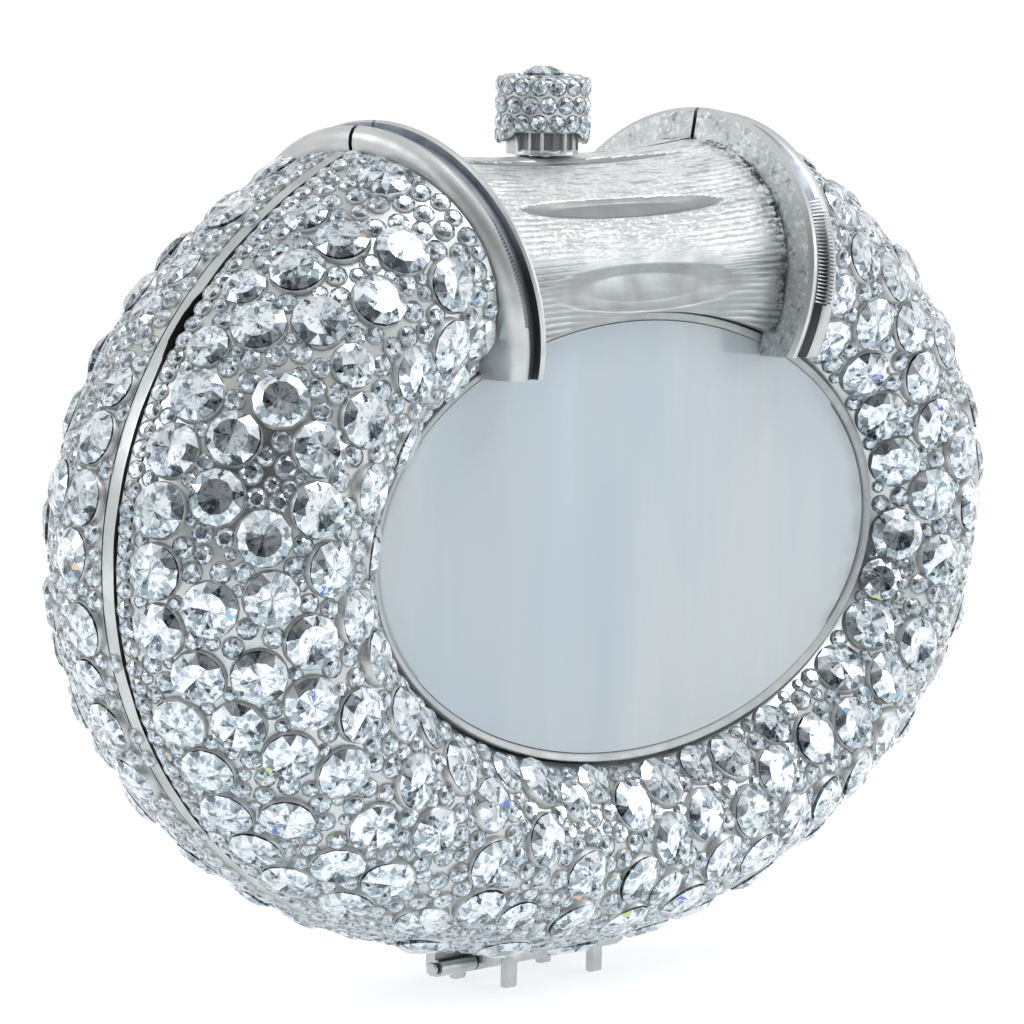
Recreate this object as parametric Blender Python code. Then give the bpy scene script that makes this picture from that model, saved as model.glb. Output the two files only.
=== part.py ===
# Evening clutch: an oval hard case of two hinged halves. Each half is a hollow ring paved with crystals
# round a pearly oval panel. A metal spool between two flanges bridges the top and carries a push knob.
# Metres, +Z up, front towards -Y, origin on the surface that the four feet stand on.

import math
import random

import bmesh
import bpy
from mathutils import Matrix, Vector
from mathutils.bvhtree import BVHTree

# Ring, measured on the bare bed under the crystals
RING_HALF_WIDTH = 0.0800
RING_HALF_HEIGHT = 0.0570
RING_HALF_DEPTH = 0.0222
RING_EDGE_DEPTH = 0.0162
CREST_SHARE = 0.40

# Oval panel and its bezel
PANEL_HALF_WIDTH = 0.0497
PANEL_HALF_HEIGHT = 0.0284
PANEL_DROP = 0.0007
PANEL_DEPTH = 0.0168
PANEL_THICKNESS = 0.0018
PANEL_EDGE_ROUND = 0.0003
BEZEL_WIDTH = 0.0009
BEZEL_RISE = 0.0004
LEDGE_WIDTH = 0.0030
LEDGE_THICKNESS = 0.0012
LEDGE_LAND = 0.0013

# Clearances
GAP = 0.0003
SEAM_GAP = 0.0003
TOOTH_CLEARANCE = 0.0004
OVERRUN = 0.0020

# Walls
BED_THICKNESS = 0.0010
SHELL_WALL = 0.0012
LINING_WALL = 0.0008
RIM_WIDTH = 0.0040
RIM_HEIGHT = 0.00205
RIM_ROUND = 0.0004

# Crystals on the beds
STONE_RADIUS = 0.0036
MIDDLE_STONE_RADIUS = 0.0029
STONE_TABLE_SHARE = 0.76
STONE_HEIGHT = 0.0015
STONE_SINK = 0.0006
STONE_APART = 0.0003
STONE_SPACING = 0.0080
STONE_LIMIT = 150
STONE_SEED = 23
STONE_TRIES = 9000
STONE_INNER_SHARE = 0.3
STONE_OVERLAP_SHARE = 0.99
PANEL_ROOM_SHARE = 0.9
SETTLE_ROUNDS = 40

# Photographed view: turn to the left of the front, rise, roll, distance from the ring's centre, focal
# length on a frame of pixels, and the point looked at
VIEW_TURN = math.radians(49.4)
VIEW_RISE = math.radians(6.4)
VIEW_ROLL = math.radians(1.1)
VIEW_DISTANCE = 0.884
VIEW_FOCAL_PIXELS = 6630.0
VIEW_MIDDLE_PIXEL = 512.0
VIEW_AIM = (-0.00469, 0.0, 0.00138)
LARGE_HALF_PIXELS = 24

# Crystals of the front half in that view: column, row and half width in pixels
FRONT_STONE_PIXELS = (
    (340, 232, 24), (292, 262, 27), (393, 242, 28), (458, 293, 28), (473, 348, 27), (428, 373, 28),
    (300, 326, 29), (243, 328, 27), (240, 281, 23), (346, 358, 22), (305, 213, 20), (453, 393, 18),
    (281, 412, 28), (190, 385, 25), (197, 440, 27), (157, 434, 24), (143, 490, 26), (184, 497, 27),
    (151, 605, 27), (207, 610, 27), (195, 348, 19), (258, 541, 30), (257, 600, 29), (320, 450, 27),
    (362, 417, 27), (318, 508, 27), (332, 563, 28), (377, 492, 28), (373, 551, 28), (405, 457, 20),
    (350, 630, 28), (142, 652, 26), (176, 692, 28), (164, 728, 25), (198, 775, 27), (212, 815, 25),
    (257, 828, 28), (235, 848, 24), (224, 727, 26), (274, 752, 28), (246, 679, 28), (293, 650, 27),
    (306, 706, 28), (328, 765, 27), (380, 664, 25), (360, 714, 27), (410, 709, 29), (436, 723, 21),
    (420, 786, 27), (471, 768, 28), (498, 805, 27), (378, 830, 28), (328, 873, 28), (270, 872, 28),
    (383, 888, 28), (348, 908, 24), (426, 924, 29), (483, 907, 28), (292, 902, 24), (498, 862, 28),
    (521, 770, 22), (561, 779, 21), (598, 781, 21), (553, 824, 27), (636, 799, 26), (673, 787, 28),
    (591, 876, 28), (650, 880, 29), (683, 842, 28), (576, 923, 27), (633, 920, 27), (520, 920, 22),
    (678, 888, 22), (696, 757, 21), (740, 764, 28), (714, 802, 27), (781, 723, 23), (779, 774, 27),
    (749, 813, 27), (720, 853, 28), (766, 848, 27), (800, 812, 27), (825, 806, 24), (735, 882, 27),
    (824, 728, 27), (854, 690, 26), (891, 703, 26), (866, 764, 24), (871, 652, 28), (924, 646, 28),
    (884, 461, 24), (926, 424, 27), (944, 467, 27), (902, 537, 24), (940, 557, 27), (878, 583, 22),
    (968, 488, 26), (967, 425, 24), (968, 535, 26), (965, 575, 26), (955, 615, 26), (868, 305, 27),
    (909, 340, 28), (858, 357, 28), (903, 391, 27), (934, 372, 27), (815, 345, 24), (838, 297, 22),
    (868, 257, 23), (903, 288, 27), (862, 405, 25), (945, 335, 26), (960, 385, 26),
)

# Crystals of the rear half in that view
BACK_STONE_PIXELS = (
    (99, 437, 27), (88, 497, 27), (68, 553, 30), (97, 580, 27), (75, 425, 20), (68, 490, 27),
    (82, 637, 28), (88, 683, 22), (114, 687, 26), (120, 731, 27), (110, 752, 20), (143, 787, 25),
    (180, 828, 25), (215, 255, 22), (128, 385, 20), (140, 308, 22), (180, 265, 22),
)

# Flanges at the ends of the spool
FLANGE_STEP = 0.0060
FLANGE_AXIS_RISE = 0.0020
FLANGE_PLACE_SHARE = 0.543
FLANGE_THICKNESS = 0.0062
FLANGE_TILT = math.radians(12.2)
FLANGE_SEAT = 0.0011
FLANGE_END_DROP = 0.0065
FLANGE_GROOVE_WIDTH = 0.0011
FLANGE_GROOVE_DEPTH = 0.0010
FLANGE_RIDGE_WIDTH = 0.0014
FLANGE_ROUND = 0.0006
BAND_CREST_SHARE = 0.35
BAND_FALL_SHARE = 0.75

# Spool between the flanges
SPOOL_STAND = 0.0019
SPOOL_END_STEP = 0.0016
SPOOL_WALL = 0.0015
SPOOL_FLARE = 2.4
SPOOL_CREST_SHARE = 0.97
SCOOP_DEPTH = 0.0005
SCOOP_HALF_LENGTH_SHARE = 0.62
SCOOP_HALF_ANGLE = math.radians(10.0)
SCOOP_ANGLES = (math.radians(14.0), math.radians(48.0), math.radians(84.0))
ROUND_END_ANGLE = math.radians(128.0)

# Shelf of the linings, under the spool
SHELF_HEIGHT = 0.0240
LINING_END_ROOM = 0.0012

# Push knob
CAP_RADIUS = 0.0062
CAP_HEIGHT = 0.0072
CAP_WALL = 0.0010
CAP_TOP = 0.0014
CAP_LIFT = 0.0030
CAP_ROWS = 3
CAP_ROW_GROOVE = 0.0003
SKIRT_DROP = 0.0016
SKIRT_STEEPNESS = 0.6
SKIRT_MIDDLES = (math.radians(125.0), math.radians(-25.0))
SKIRT_HALF_ANGLE = math.radians(55.0)
CRYSTAL_RADIUS = 0.0030
CRYSTAL_HEIGHT = 0.0013
CRYSTAL_GIRDLE_SHARE = 0.25
CRYSTAL_CROWN_SHARE = 0.90
KNOB_TRAVEL = 0.0012
POST_RADIUS = 0.0048
POST_OVERLAP = 0.0018
POST_BORE = 0.0016
FLUTE_COUNT = 9
FLUTE_RADIUS = 0.0007
FLUTE_FIRST = math.radians(-170.0)
FLUTE_LAST = math.radians(-10.0)
WINDOW_TURN = math.radians(-60.0)
WINDOW_HALF_TURN = math.radians(25.0)
WINDOW_WIDTH = 0.0019
WINDOW_HEIGHT = 0.0017
TENON_RADIUS = 0.0009
TENON_OFFSET = 0.0034
NUT_RADIUS = 0.0020
NUT_THICKNESS = 0.0010
PLUNGER_RADIUS = 0.0012
NOTCH_RADIUS = 0.0018
SPRING_RADIUS = 0.0031
SPRING_WIRE_RADIUS = 0.0003
SPRING_TURNS = 2

# Catch inside the spool
CATCH_WIDTH = 0.0070
CATCH_THICKNESS = 0.0010
CATCH_REACH = 0.0073
LIP_SETBACK = 0.0017
LIP_THICKNESS = 0.0008
LIP_LENGTH = 0.0010
TOOTH_WIDTH = 0.0012
TOOTH_HEIGHT = 0.0008
HOOK_THICKNESS = 0.0010
HOOK_HALF_WIDTH = 0.0022

# Hinge under the ring
KNUCKLE_RADIUS = 0.00115
KNUCKLE_BORE = 0.00075
KNUCKLE_WEB = 0.0016
KNUCKLE_COUNT = 5
BARREL_LENGTH = 0.0370
HINGE_DROP = 0.0014
PIN_RADIUS = 0.00045
PIN_HEAD_RADIUS = 0.0009
PIN_HEAD_LENGTH = 0.0005

# Feet, which also stop the opening
FOOT_SPREAD = 0.00875
FOOT_WIDTH = 0.0019
FOOT_INNER = 0.0038
FOOT_THICKNESS = 0.0014
FOOT_LENGTH = 0.0031
FOOT_PAD_REACH = 0.0009
FOOT_PAD_THICKNESS = 0.0007
FOOT_ROUND = 0.00025

# Counts of segments
RING_STEPS = 44
INNER_STEPS = 2
OUTER_STEPS = 4
SPOOL_ROUND_STEPS = 13
FLANGE_ROUND_STEPS = 15
SPOOL_STEPS = 10
TURN_STEPS = 24
STONE_SIDES = 6
CRYSTAL_SIDES = 8
SMALL_TURN_STEPS = 12
NUT_SIDES = 6
FLUTE_SIDES = 6
SPRING_TURN_STEPS = 9
WIRE_SIDES = 5
SHARP_ANGLE = math.radians(32.0)

# Heights that follow
HINGE_HEIGHT = -(RING_HALF_HEIGHT + HINGE_DROP)
FOOT_TIP = HINGE_HEIGHT - FOOT_LENGTH
CENTRE_HEIGHT = -FOOT_TIP
EDGE_OFFSET = GAP + BEZEL_WIDTH + GAP
EDGE_HALF_WIDTH = PANEL_HALF_WIDTH + EDGE_OFFSET
EDGE_HALF_HEIGHT = PANEL_HALF_HEIGHT + EDGE_OFFSET
HALF_SEAM = SEAM_GAP / 2
SHELL_INSET = BED_THICKNESS + GAP
LINING_INSET = SHELL_INSET + SHELL_WALL + GAP
RIM_TOP = HALF_SEAM + RIM_HEIGHT
SHELL_END = RIM_TOP + GAP
PANEL_BACK = PANEL_DEPTH - PANEL_THICKNESS
LEDGE_FRONT = PANEL_BACK - GAP
LEDGE_BACK = LEDGE_FRONT - LEDGE_THICKNESS
FLOOR_FRONT = LEDGE_BACK - GAP
FLOOR_BACK = FLOOR_FRONT - LINING_WALL
BEZEL_FRONT = PANEL_DEPTH + BEZEL_RISE
SPOOL_WAIST_RADIUS = PANEL_DEPTH + SPOOL_STAND
SPOOL_END_RADIUS = SPOOL_WAIST_RADIUS + SPOOL_END_STEP
FLANGE_RADIUS = SPOOL_WAIST_RADIUS + FLANGE_STEP
FLANGE_HOLE_RADIUS = SPOOL_WAIST_RADIUS - FLANGE_SEAT
FLANGE_INNER_FACE = PANEL_HALF_WIDTH * FLANGE_PLACE_SHARE
FLANGE_AXIS_HEIGHT = PANEL_HALF_HEIGHT + FLANGE_AXIS_RISE
FLANGE_END_HEIGHT = PANEL_HALF_HEIGHT - FLANGE_END_DROP
CREST_HEIGHT = FLANGE_AXIS_HEIGHT + SPOOL_WAIST_RADIUS * SPOOL_CREST_SHARE
POST_BASE = CREST_HEIGHT + GAP
CAP_BASE = POST_BASE + CAP_LIFT
POST_TOP = CAP_BASE + POST_OVERLAP
CAP_TOP_HEIGHT = CAP_BASE + CAP_HEIGHT
CAP_CEILING = CAP_TOP_HEIGHT - CAP_TOP
CAP_INNER_RADIUS = CAP_RADIUS - CAP_WALL
SPOOL_INNER_RADIUS = SPOOL_WAIST_RADIUS - SPOOL_WALL


def clear_scene():
    for thing in list(bpy.data.objects):
        bpy.data.objects.remove(thing, do_unlink=True)


def material(name, colour, roughness, metallic):
    made = bpy.data.materials.new(name)
    made.use_nodes = True
    shader = made.node_tree.nodes["Principled BSDF"]
    shader.inputs["Base Color"].default_value = (*colour, 1.0)
    shader.inputs["Roughness"].default_value = roughness
    shader.inputs["Metallic"].default_value = metallic
    made.diffuse_color = (*colour, 1.0)
    return made


def finish_mesh(name, shape, surface, cutter=False, smooth=True):
    bmesh.ops.recalc_face_normals(shape, faces=shape.faces)
    mesh = bpy.data.meshes.new(name)
    shape.to_mesh(mesh)
    shape.free()
    thing = bpy.data.objects.new(name, mesh)
    bpy.context.scene.collection.objects.link(thing)
    if cutter:
        thing.hide_render = True
        thing.display_type = "WIRE"
    else:
        mesh.materials.append(surface)
    if smooth and not cutter:
        mesh.shade_smooth()
        mesh.set_sharp_from_angle(angle=SHARP_ANGLE)
    return thing


def boolean(thing, other, operation="DIFFERENCE"):
    step = thing.modifiers.new(operation.lower(), "BOOLEAN")
    step.operation = operation
    step.solver = "EXACT"
    step.object = other


def sweep(rows, closed):
    """Closed solid from rows of points: round and round when closed, else with a cap on each end."""
    shape = bmesh.new()
    grid = [[shape.verts.new(point) for point in row] for row in rows]
    width = len(grid[0])
    spans = len(grid) if closed else len(grid) - 1
    for i in range(spans):
        here = grid[i]
        there = grid[(i + 1) % len(grid)]
        for j in range(width):
            k = (j + 1) % width
            shape.faces.new((here[j], here[k], there[k], there[j]))
    if not closed:
        shape.faces.new(grid[0])
        shape.faces.new(list(reversed(grid[-1])))
    return shape


def prism(outline, low, high, axis="Y"):
    """Closed solid over an outline, along Y for (x, z) points, X for (y, z) points, Z for (x, y) points."""
    place = {
        "Y": lambda a, b, c: Vector((a, c, b)),
        "X": lambda a, b, c: Vector((c, a, b)),
        "Z": lambda a, b, c: Vector((a, b, c)),
    }[axis]
    return sweep([[place(a, b, c) for a, b in outline] for c in (low, high)], closed=False)


def box(low, high):
    outline = [(low[0], low[2]), (high[0], low[2]), (high[0], high[2]), (low[0], high[2])]
    return prism(outline, low[1], high[1])


def oval(half_width, half_height, centre, steps=RING_STEPS):
    points = []
    for i in range(steps):
        turn = 2 * math.pi * i / steps
        points.append((half_width * math.cos(turn), centre + half_height * math.sin(turn)))
    return points


def circle(radius, steps, middle=(0.0, 0.0)):
    points = []
    for i in range(steps):
        turn = 2 * math.pi * (i + 0.5) / steps
        points.append((middle[0] + radius * math.cos(turn), middle[1] + radius * math.sin(turn)))
    return points


def turned(profile, steps=TURN_STEPS):
    """Solid of revolution about the Z axis from (radius, height) points, closed along the axis."""
    shape = bmesh.new()
    rings = []
    for radius, height in profile:
        if radius == 0.0:
            rings.append([shape.verts.new((0.0, 0.0, height))])
        else:
            rings.append([shape.verts.new((x, y, height)) for x, y in circle(radius, steps)])
    count = len(rings)
    closed = profile[0][0] != 0.0 or profile[-1][0] != 0.0
    for i in range(count if closed else count - 1):
        here = rings[i]
        there = rings[(i + 1) % count]
        for j in range(steps):
            k = (j + 1) % steps
            corners = [here[j % len(here)], here[k % len(here)], there[k % len(there)], there[j % len(there)]]
            face = list(dict.fromkeys(corners))
            shape.faces.new(face)
    return shape


def lift(thing, height=CENTRE_HEIGHT):
    """Raise a mesh drawn about the ring's centre to the height that its feet give it."""
    thing.data.transform(Matrix.Translation((0.0, 0.0, height)))


def section_frame(turn):
    """Panel edge point, outward direction and length of the ring's section at one turn."""
    edge = Vector((EDGE_HALF_WIDTH * math.cos(turn), 0.0, EDGE_HALF_HEIGHT * math.sin(turn) - PANEL_DROP))
    seam = Vector((RING_HALF_WIDTH * math.cos(turn), 0.0, RING_HALF_HEIGHT * math.sin(turn)))
    reach = seam - edge
    return edge, reach.normalized(), reach.length


def section_point(length, angle, inner, inset):
    """Point (out, depth) of the ring's arc, moved in by inset along its normal, and that normal."""
    start = math.asin(RING_EDGE_DEPTH / RING_HALF_DEPTH)
    crest = CREST_SHARE * length
    half = crest / math.cos(start) if inner else length - crest
    hand = -1.0 if inner else 1.0
    normal = Vector((hand * math.cos(angle) / half, math.sin(angle) / RING_HALF_DEPTH)).normalized()
    spot = Vector((crest + hand * half * math.cos(angle), RING_HALF_DEPTH * math.sin(angle)))
    return spot - inset * normal, normal


def section_arc(length, inset, end):
    """Arc of the ring's section from the panel edge over the crest to a depth of end at the seam."""
    start = math.asin(RING_EDGE_DEPTH / RING_HALF_DEPTH)
    stop = math.asin(end / RING_HALF_DEPTH)
    points = []
    for i in range(INNER_STEPS):
        angle = start + (math.pi / 2 - start) * i / INNER_STEPS
        points.append(section_point(length, angle, True, inset)[0])
    for i in range(OUTER_STEPS + 1):
        angle = math.pi / 2 + (stop - math.pi / 2) * i / OUTER_STEPS
        points.append(section_point(length, angle, False, inset)[0])
    points[-1].y = end
    return [(point.x, point.y) for point in points]


def ring_rows(section):
    """Rows of world points for a section function of the length, with the front towards -Y."""
    rows = []
    for i in range(RING_STEPS):
        edge, out, length = section_frame(2 * math.pi * i / RING_STEPS)
        rows.append([edge + out * s + Vector((0.0, -depth, 0.0)) for s, depth in section(length)])
    return rows


def flange_line(depth_along, height):
    """Half width at one height of a plane parallel to the flanges, at one distance from the inner face."""
    rise = height - FLANGE_AXIS_HEIGHT
    return FLANGE_INNER_FACE + (depth_along + rise * math.sin(FLANGE_TILT)) / math.cos(FLANGE_TILT)


def spool_wedge(name, room, foot, low, high):
    """Cutter for the bridged part of the ring, between planes just outside the flanges."""
    top = RING_HALF_HEIGHT + OVERRUN
    wide = flange_line(FLANGE_THICKNESS + room, top)
    narrow = flange_line(FLANGE_THICKNESS + room, foot)
    outline = [(-narrow, foot), (narrow, foot), (wide, top), (-wide, top)]
    return finish_mesh(name, prism(outline, low, high), None, cutter=True)


def view_ray(column, row):
    """Start and direction of the sight line through one place of the photographed view."""
    start = VIEW_DISTANCE * Vector((
        -math.sin(VIEW_TURN) * math.cos(VIEW_RISE),
        -math.cos(VIEW_TURN) * math.cos(VIEW_RISE),
        math.sin(VIEW_RISE),
    ))
    forward = (Vector(VIEW_AIM) - start).normalized()
    level = forward.cross(Vector((0.0, 0.0, 1.0))).normalized()
    upright = level.cross(forward)
    right = level * math.cos(VIEW_ROLL) + upright * math.sin(VIEW_ROLL)
    up = upright * math.cos(VIEW_ROLL) - level * math.sin(VIEW_ROLL)
    across = (column - VIEW_MIDDLE_PIXEL) / VIEW_FOCAL_PIXELS
    rise = (VIEW_MIDDLE_PIXEL - row) / VIEW_FOCAL_PIXELS
    return start, (forward + right * across + up * rise).normalized()


def seen_stones(tree, rows):
    """Bed point and radius of each crystal of the photographed view."""
    stones = []
    for column, row, half_width in rows:
        start, sight = view_ray(column, row)
        hit, facing, _, _ = tree.ray_cast(start, sight)
        if hit is not None:
            hit = tree.ray_cast(start - facing * STONE_HEIGHT, sight)[0]
        if hit is None:
            hit = start - sight * start.dot(sight)
        radius = STONE_RADIUS if half_width >= LARGE_HALF_PIXELS else MIDDLE_STONE_RADIUS
        stones.append([tree.find_nearest(hit)[0], radius])
    return stones


def oval_gap(point):
    """Distance of a point outside the opening's oval, and the direction away from it."""
    slope = Vector((point.x / EDGE_HALF_WIDTH ** 2, 0.0, (point.z + PANEL_DROP) / EDGE_HALF_HEIGHT ** 2))
    reach = math.hypot(point.x / EDGE_HALF_WIDTH, (point.z + PANEL_DROP) / EDGE_HALF_HEIGHT)
    return (reach - 1.0) * reach / slope.length, slope.normalized()


def foot_gap(point, hand):
    """Distance of a bed point at the bottom from the nearest foot's pad, and the direction away from it."""
    side = 1.0 if point.x > 0.0 else -1.0
    pad_low = FOOT_INNER - FOOT_PAD_REACH
    pad_high = FOOT_INNER + FOOT_THICKNESS + FOOT_PAD_REACH
    x = min(max(side * point.x, FOOT_SPREAD - FOOT_WIDTH / 2), FOOT_SPREAD + FOOT_WIDTH / 2)
    depth = min(max(hand * point.y, pad_low), pad_high)
    away = Vector((point.x - side * x, point.y - hand * depth, 0.0))
    return away.length, away.normalized()


def crowding(point, radius, hand):
    """Shifts that bring a crystal clear of the opening, the rim, the flanges and the feet."""
    side = 1.0 if point.x > 0.0 else -1.0
    panel_gap, outward = oval_gap(point)
    shifts = [(radius * PANEL_ROOM_SHARE - panel_gap, outward)]
    shifts.append((SHELL_END + radius + GAP - hand * point.y, Vector((0.0, hand, 0.0))))
    if point.z > 0.0:
        along = side * math.cos(FLANGE_TILT) * (side * point.x - flange_line(0.0, point.z))
        away = Vector((side * math.cos(FLANGE_TILT), 0.0, -math.sin(FLANGE_TILT)))
        shifts.append((FLANGE_THICKNESS + GAP + radius + GAP - side * along, away))
    elif point.z < HINGE_HEIGHT / 2:
        gap, away = foot_gap(point, hand)
        shifts.append((radius + GAP - gap, away))
    return [(need, direction) for need, direction in shifts if need > 0.0]


def settle(stones, tree, hand):
    """Push crystals apart and off the edges of their bed, and leave out those that still overlap."""
    for _ in range(SETTLE_ROUNDS):
        for i, first in enumerate(stones):
            for second in stones[:i]:
                apart = first[0] - second[0]
                need = first[1] + second[1] + STONE_APART - apart.length
                if need > 0.0:
                    push = apart.normalized() * need / 2
                    first[0] = first[0] + push
                    second[0] = second[0] - push
        for stone in stones:
            for need, direction in crowding(*stone, hand):
                stone[0] = stone[0] + direction * need
            stone[0] = tree.find_nearest(stone[0])[0]
    kept = []
    for point, radius in stones:
        apart = all((point - other).length > (radius + reach) * STONE_OVERLAP_SHARE for other, reach in kept)
        if apart and max([need for need, _ in crowding(point, radius, hand)], default=0.0) < GAP / 2:
            kept.append([point, radius])
    return kept


def scatter(stones, tree, hand):
    """Fill the rest of a bed with crystals a little further apart."""
    chance = random.Random(STONE_SEED)
    start = math.asin(RING_EDGE_DEPTH / RING_HALF_DEPTH)
    for _ in range(STONE_TRIES):
        if len(stones) == STONE_LIMIT:
            break
        share = chance.random()
        inner = share < STONE_INNER_SHARE
        if inner:
            angle = start + (math.pi / 2 - start) * share / STONE_INNER_SHARE
        else:
            angle = math.pi / 2 * (1.0 - share) / (1.0 - STONE_INNER_SHARE)
        edge, out, length = section_frame(chance.uniform(-math.pi, math.pi))
        spot = section_point(length, angle, inner, 0.0)[0]
        point = tree.find_nearest(edge + out * spot.x + Vector((0.0, hand * spot.y, 0.0)))[0]
        clear = all((point - other).length > STONE_SPACING for other, _ in stones)
        if clear and not crowding(point, STONE_RADIUS, hand):
            stones.append([point, STONE_RADIUS])
    return stones


def stone_shape(shape, point, facing, radius):
    """One crystal as a low frustum on its girdle, sunk a little into the bed."""
    across = facing.orthogonal().normalized()
    along = facing.cross(across)
    rings = []
    for height, reach in ((-STONE_SINK, radius), (STONE_HEIGHT, radius * STONE_TABLE_SHARE)):
        centre = point + facing * height
        outline = circle(reach, STONE_SIDES)
        rings.append([shape.verts.new(centre + across * x + along * y) for x, y in outline])
    base, table = rings
    for j in range(STONE_SIDES):
        k = (j + 1) % STONE_SIDES
        shape.faces.new((base[j], base[k], table[k], table[j]))
    shape.faces.new(list(reversed(base)))
    shape.faces.new(table)


def skin_section(length):
    return section_arc(length, 0.0, SHELL_END)


def bed_skin(hand):
    """Outside of one half's bed, with its faces outwards."""
    shape = bmesh.new()
    rows = []
    for row in ring_rows(skin_section):
        rows.append([shape.verts.new((point.x, -hand * point.y, point.z)) for point in row])
    for i, here in enumerate(rows):
        before = rows[i - 1]
        for j in range(len(here) - 1):
            corners = (before[j], here[j], here[j + 1], before[j + 1])
            shape.faces.new(corners if hand > 0.0 else corners[::-1])
    shape.normal_update()
    return shape


def stone_cutter(name, rows, hand):
    """All crystals of one half, for a union with its bed."""
    skin = bed_skin(hand)
    tree = BVHTree.FromBMesh(skin)
    skin.free()
    stones = scatter(settle(seen_stones(tree, rows), tree, hand), tree, hand)
    shape = bmesh.new()
    for point, radius in stones:
        stone_shape(shape, point, tree.find_nearest(point)[1], radius)
    return finish_mesh(name, shape, None, cutter=True)


def bed_section(length):
    top = section_arc(length, 0.0, SHELL_END)
    under = section_arc(length, BED_THICKNESS, SHELL_END)
    return top + under[::-1]


def shell_section(length):
    top = section_arc(length, SHELL_INSET, SHELL_END)
    under = section_arc(length, SHELL_INSET + SHELL_WALL, SHELL_END)
    tip = -(EDGE_OFFSET + LEDGE_WIDTH)
    ledge = [(under[0][0], LEDGE_BACK), (tip, LEDGE_BACK), (tip, LEDGE_FRONT), (GAP, LEDGE_FRONT)]
    return top + under[::-1] + ledge


def rim_section(length):
    inner = length - RIM_WIDTH
    return [
        (inner, HALF_SEAM),
        (length - RIM_ROUND, HALF_SEAM),
        (length, HALF_SEAM + RIM_ROUND),
        (length, RIM_TOP - RIM_ROUND),
        (length - RIM_ROUND, RIM_TOP),
        (inner, RIM_TOP),
    ]


def dish(name, inset, mouth, floor, surface, cutter):
    """Closed solid of the hollow inside a half, from its mouth to its flat floor."""
    shape = bmesh.new()
    rows = []
    for i in range(RING_STEPS):
        edge, out, length = section_frame(2 * math.pi * i / RING_STEPS)
        arc = section_arc(length, inset, SHELL_END)[1:]
        outline = [(arc[-1][0], mouth)] + arc[::-1] + [(arc[0][0], floor)]
        rows.append([shape.verts.new(edge + out * s + Vector((0.0, -depth, 0.0))) for s, depth in outline])
    for i, here in enumerate(rows):
        there = rows[(i + 1) % RING_STEPS]
        for j in range(len(here) - 1):
            shape.faces.new((here[j], here[j + 1], there[j + 1], there[j]))
    shape.faces.new([row[0] for row in rows])
    shape.faces.new([row[-1] for row in reversed(rows)])
    return finish_mesh(name, shape, surface, cutter)


def bezel_ring(surface):
    inner = (PANEL_HALF_WIDTH + GAP, PANEL_HALF_HEIGHT + GAP)
    outer = (inner[0] + BEZEL_WIDTH, inner[1] + BEZEL_WIDTH)
    back = LEDGE_FRONT + GAP
    shoulder = BEZEL_FRONT - BEZEL_RISE / 2
    rows = []
    for i in range(RING_STEPS):
        turn = 2 * math.pi * i / RING_STEPS
        row = []
        for share, depth in ((0.0, back), (1.0, back), (1.0, shoulder), (0.0, BEZEL_FRONT)):
            wide = inner[0] + (outer[0] - inner[0]) * share
            high = inner[1] + (outer[1] - inner[1]) * share
            row.append(Vector((wide * math.cos(turn), -depth, high * math.sin(turn) - PANEL_DROP)))
        rows.append(row)
    return finish_mesh("front_bezel", sweep(rows, closed=True), surface)


def panel_plate(surface):
    rows = []
    levels = (
        (PANEL_BACK, 0.0),
        (PANEL_DEPTH - PANEL_EDGE_ROUND, 0.0),
        (PANEL_DEPTH, PANEL_EDGE_ROUND),
    )
    for depth, inset in levels:
        outline = oval(PANEL_HALF_WIDTH - inset, PANEL_HALF_HEIGHT - inset, -PANEL_DROP)
        rows.append([Vector((x, -depth, z)) for x, z in outline])
    return finish_mesh("front_panel", sweep(rows, closed=False), surface)


def scoop(angle, share):
    """Depth of the long hammered scoops at one angle round the spool and one share along it."""
    deepest = 0.0
    for middle in SCOOP_ANGLES:
        round_share = (angle - middle) / SCOOP_HALF_ANGLE
        long_share = share / SCOOP_HALF_LENGTH_SHARE
        deepest = max(deepest, 1.0 - round_share ** 2 - long_share ** 2)
    return SCOOP_DEPTH * min(1.0, 2.0 * deepest)


def spool_radius(share):
    return SPOOL_WAIST_RADIUS + (SPOOL_END_RADIUS - SPOOL_WAIST_RADIUS) * abs(share) ** SPOOL_FLARE


def spool_half(surface):
    """Half saddle between the flanges, from the seam over the front to below the panel's edge."""
    rows = []
    for i in range(SPOOL_ROUND_STEPS + 1):
        angle = ROUND_END_ANGLE * i / SPOOL_ROUND_STEPS
        row = []
        for wall, order in ((0.0, 1), (SPOOL_WALL, -1)):
            for j in range(SPOOL_STEPS + 1)[::order]:
                share = 2.0 * j / SPOOL_STEPS - 1.0
                dent = scoop(angle, share) if wall == 0.0 else 0.0
                radius = spool_radius(share) - wall - dent
                rise = radius * math.cos(angle) * SPOOL_CREST_SHARE
                half = flange_line(-GAP, FLANGE_AXIS_HEIGHT + rise)
                depth = max(radius * math.sin(angle), HALF_SEAM)
                row.append(Vector((half * share, -depth, FLANGE_AXIS_HEIGHT + rise)))
        rows.append(row)
    return finish_mesh("front_spool", sweep(rows, closed=False), surface)


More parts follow.
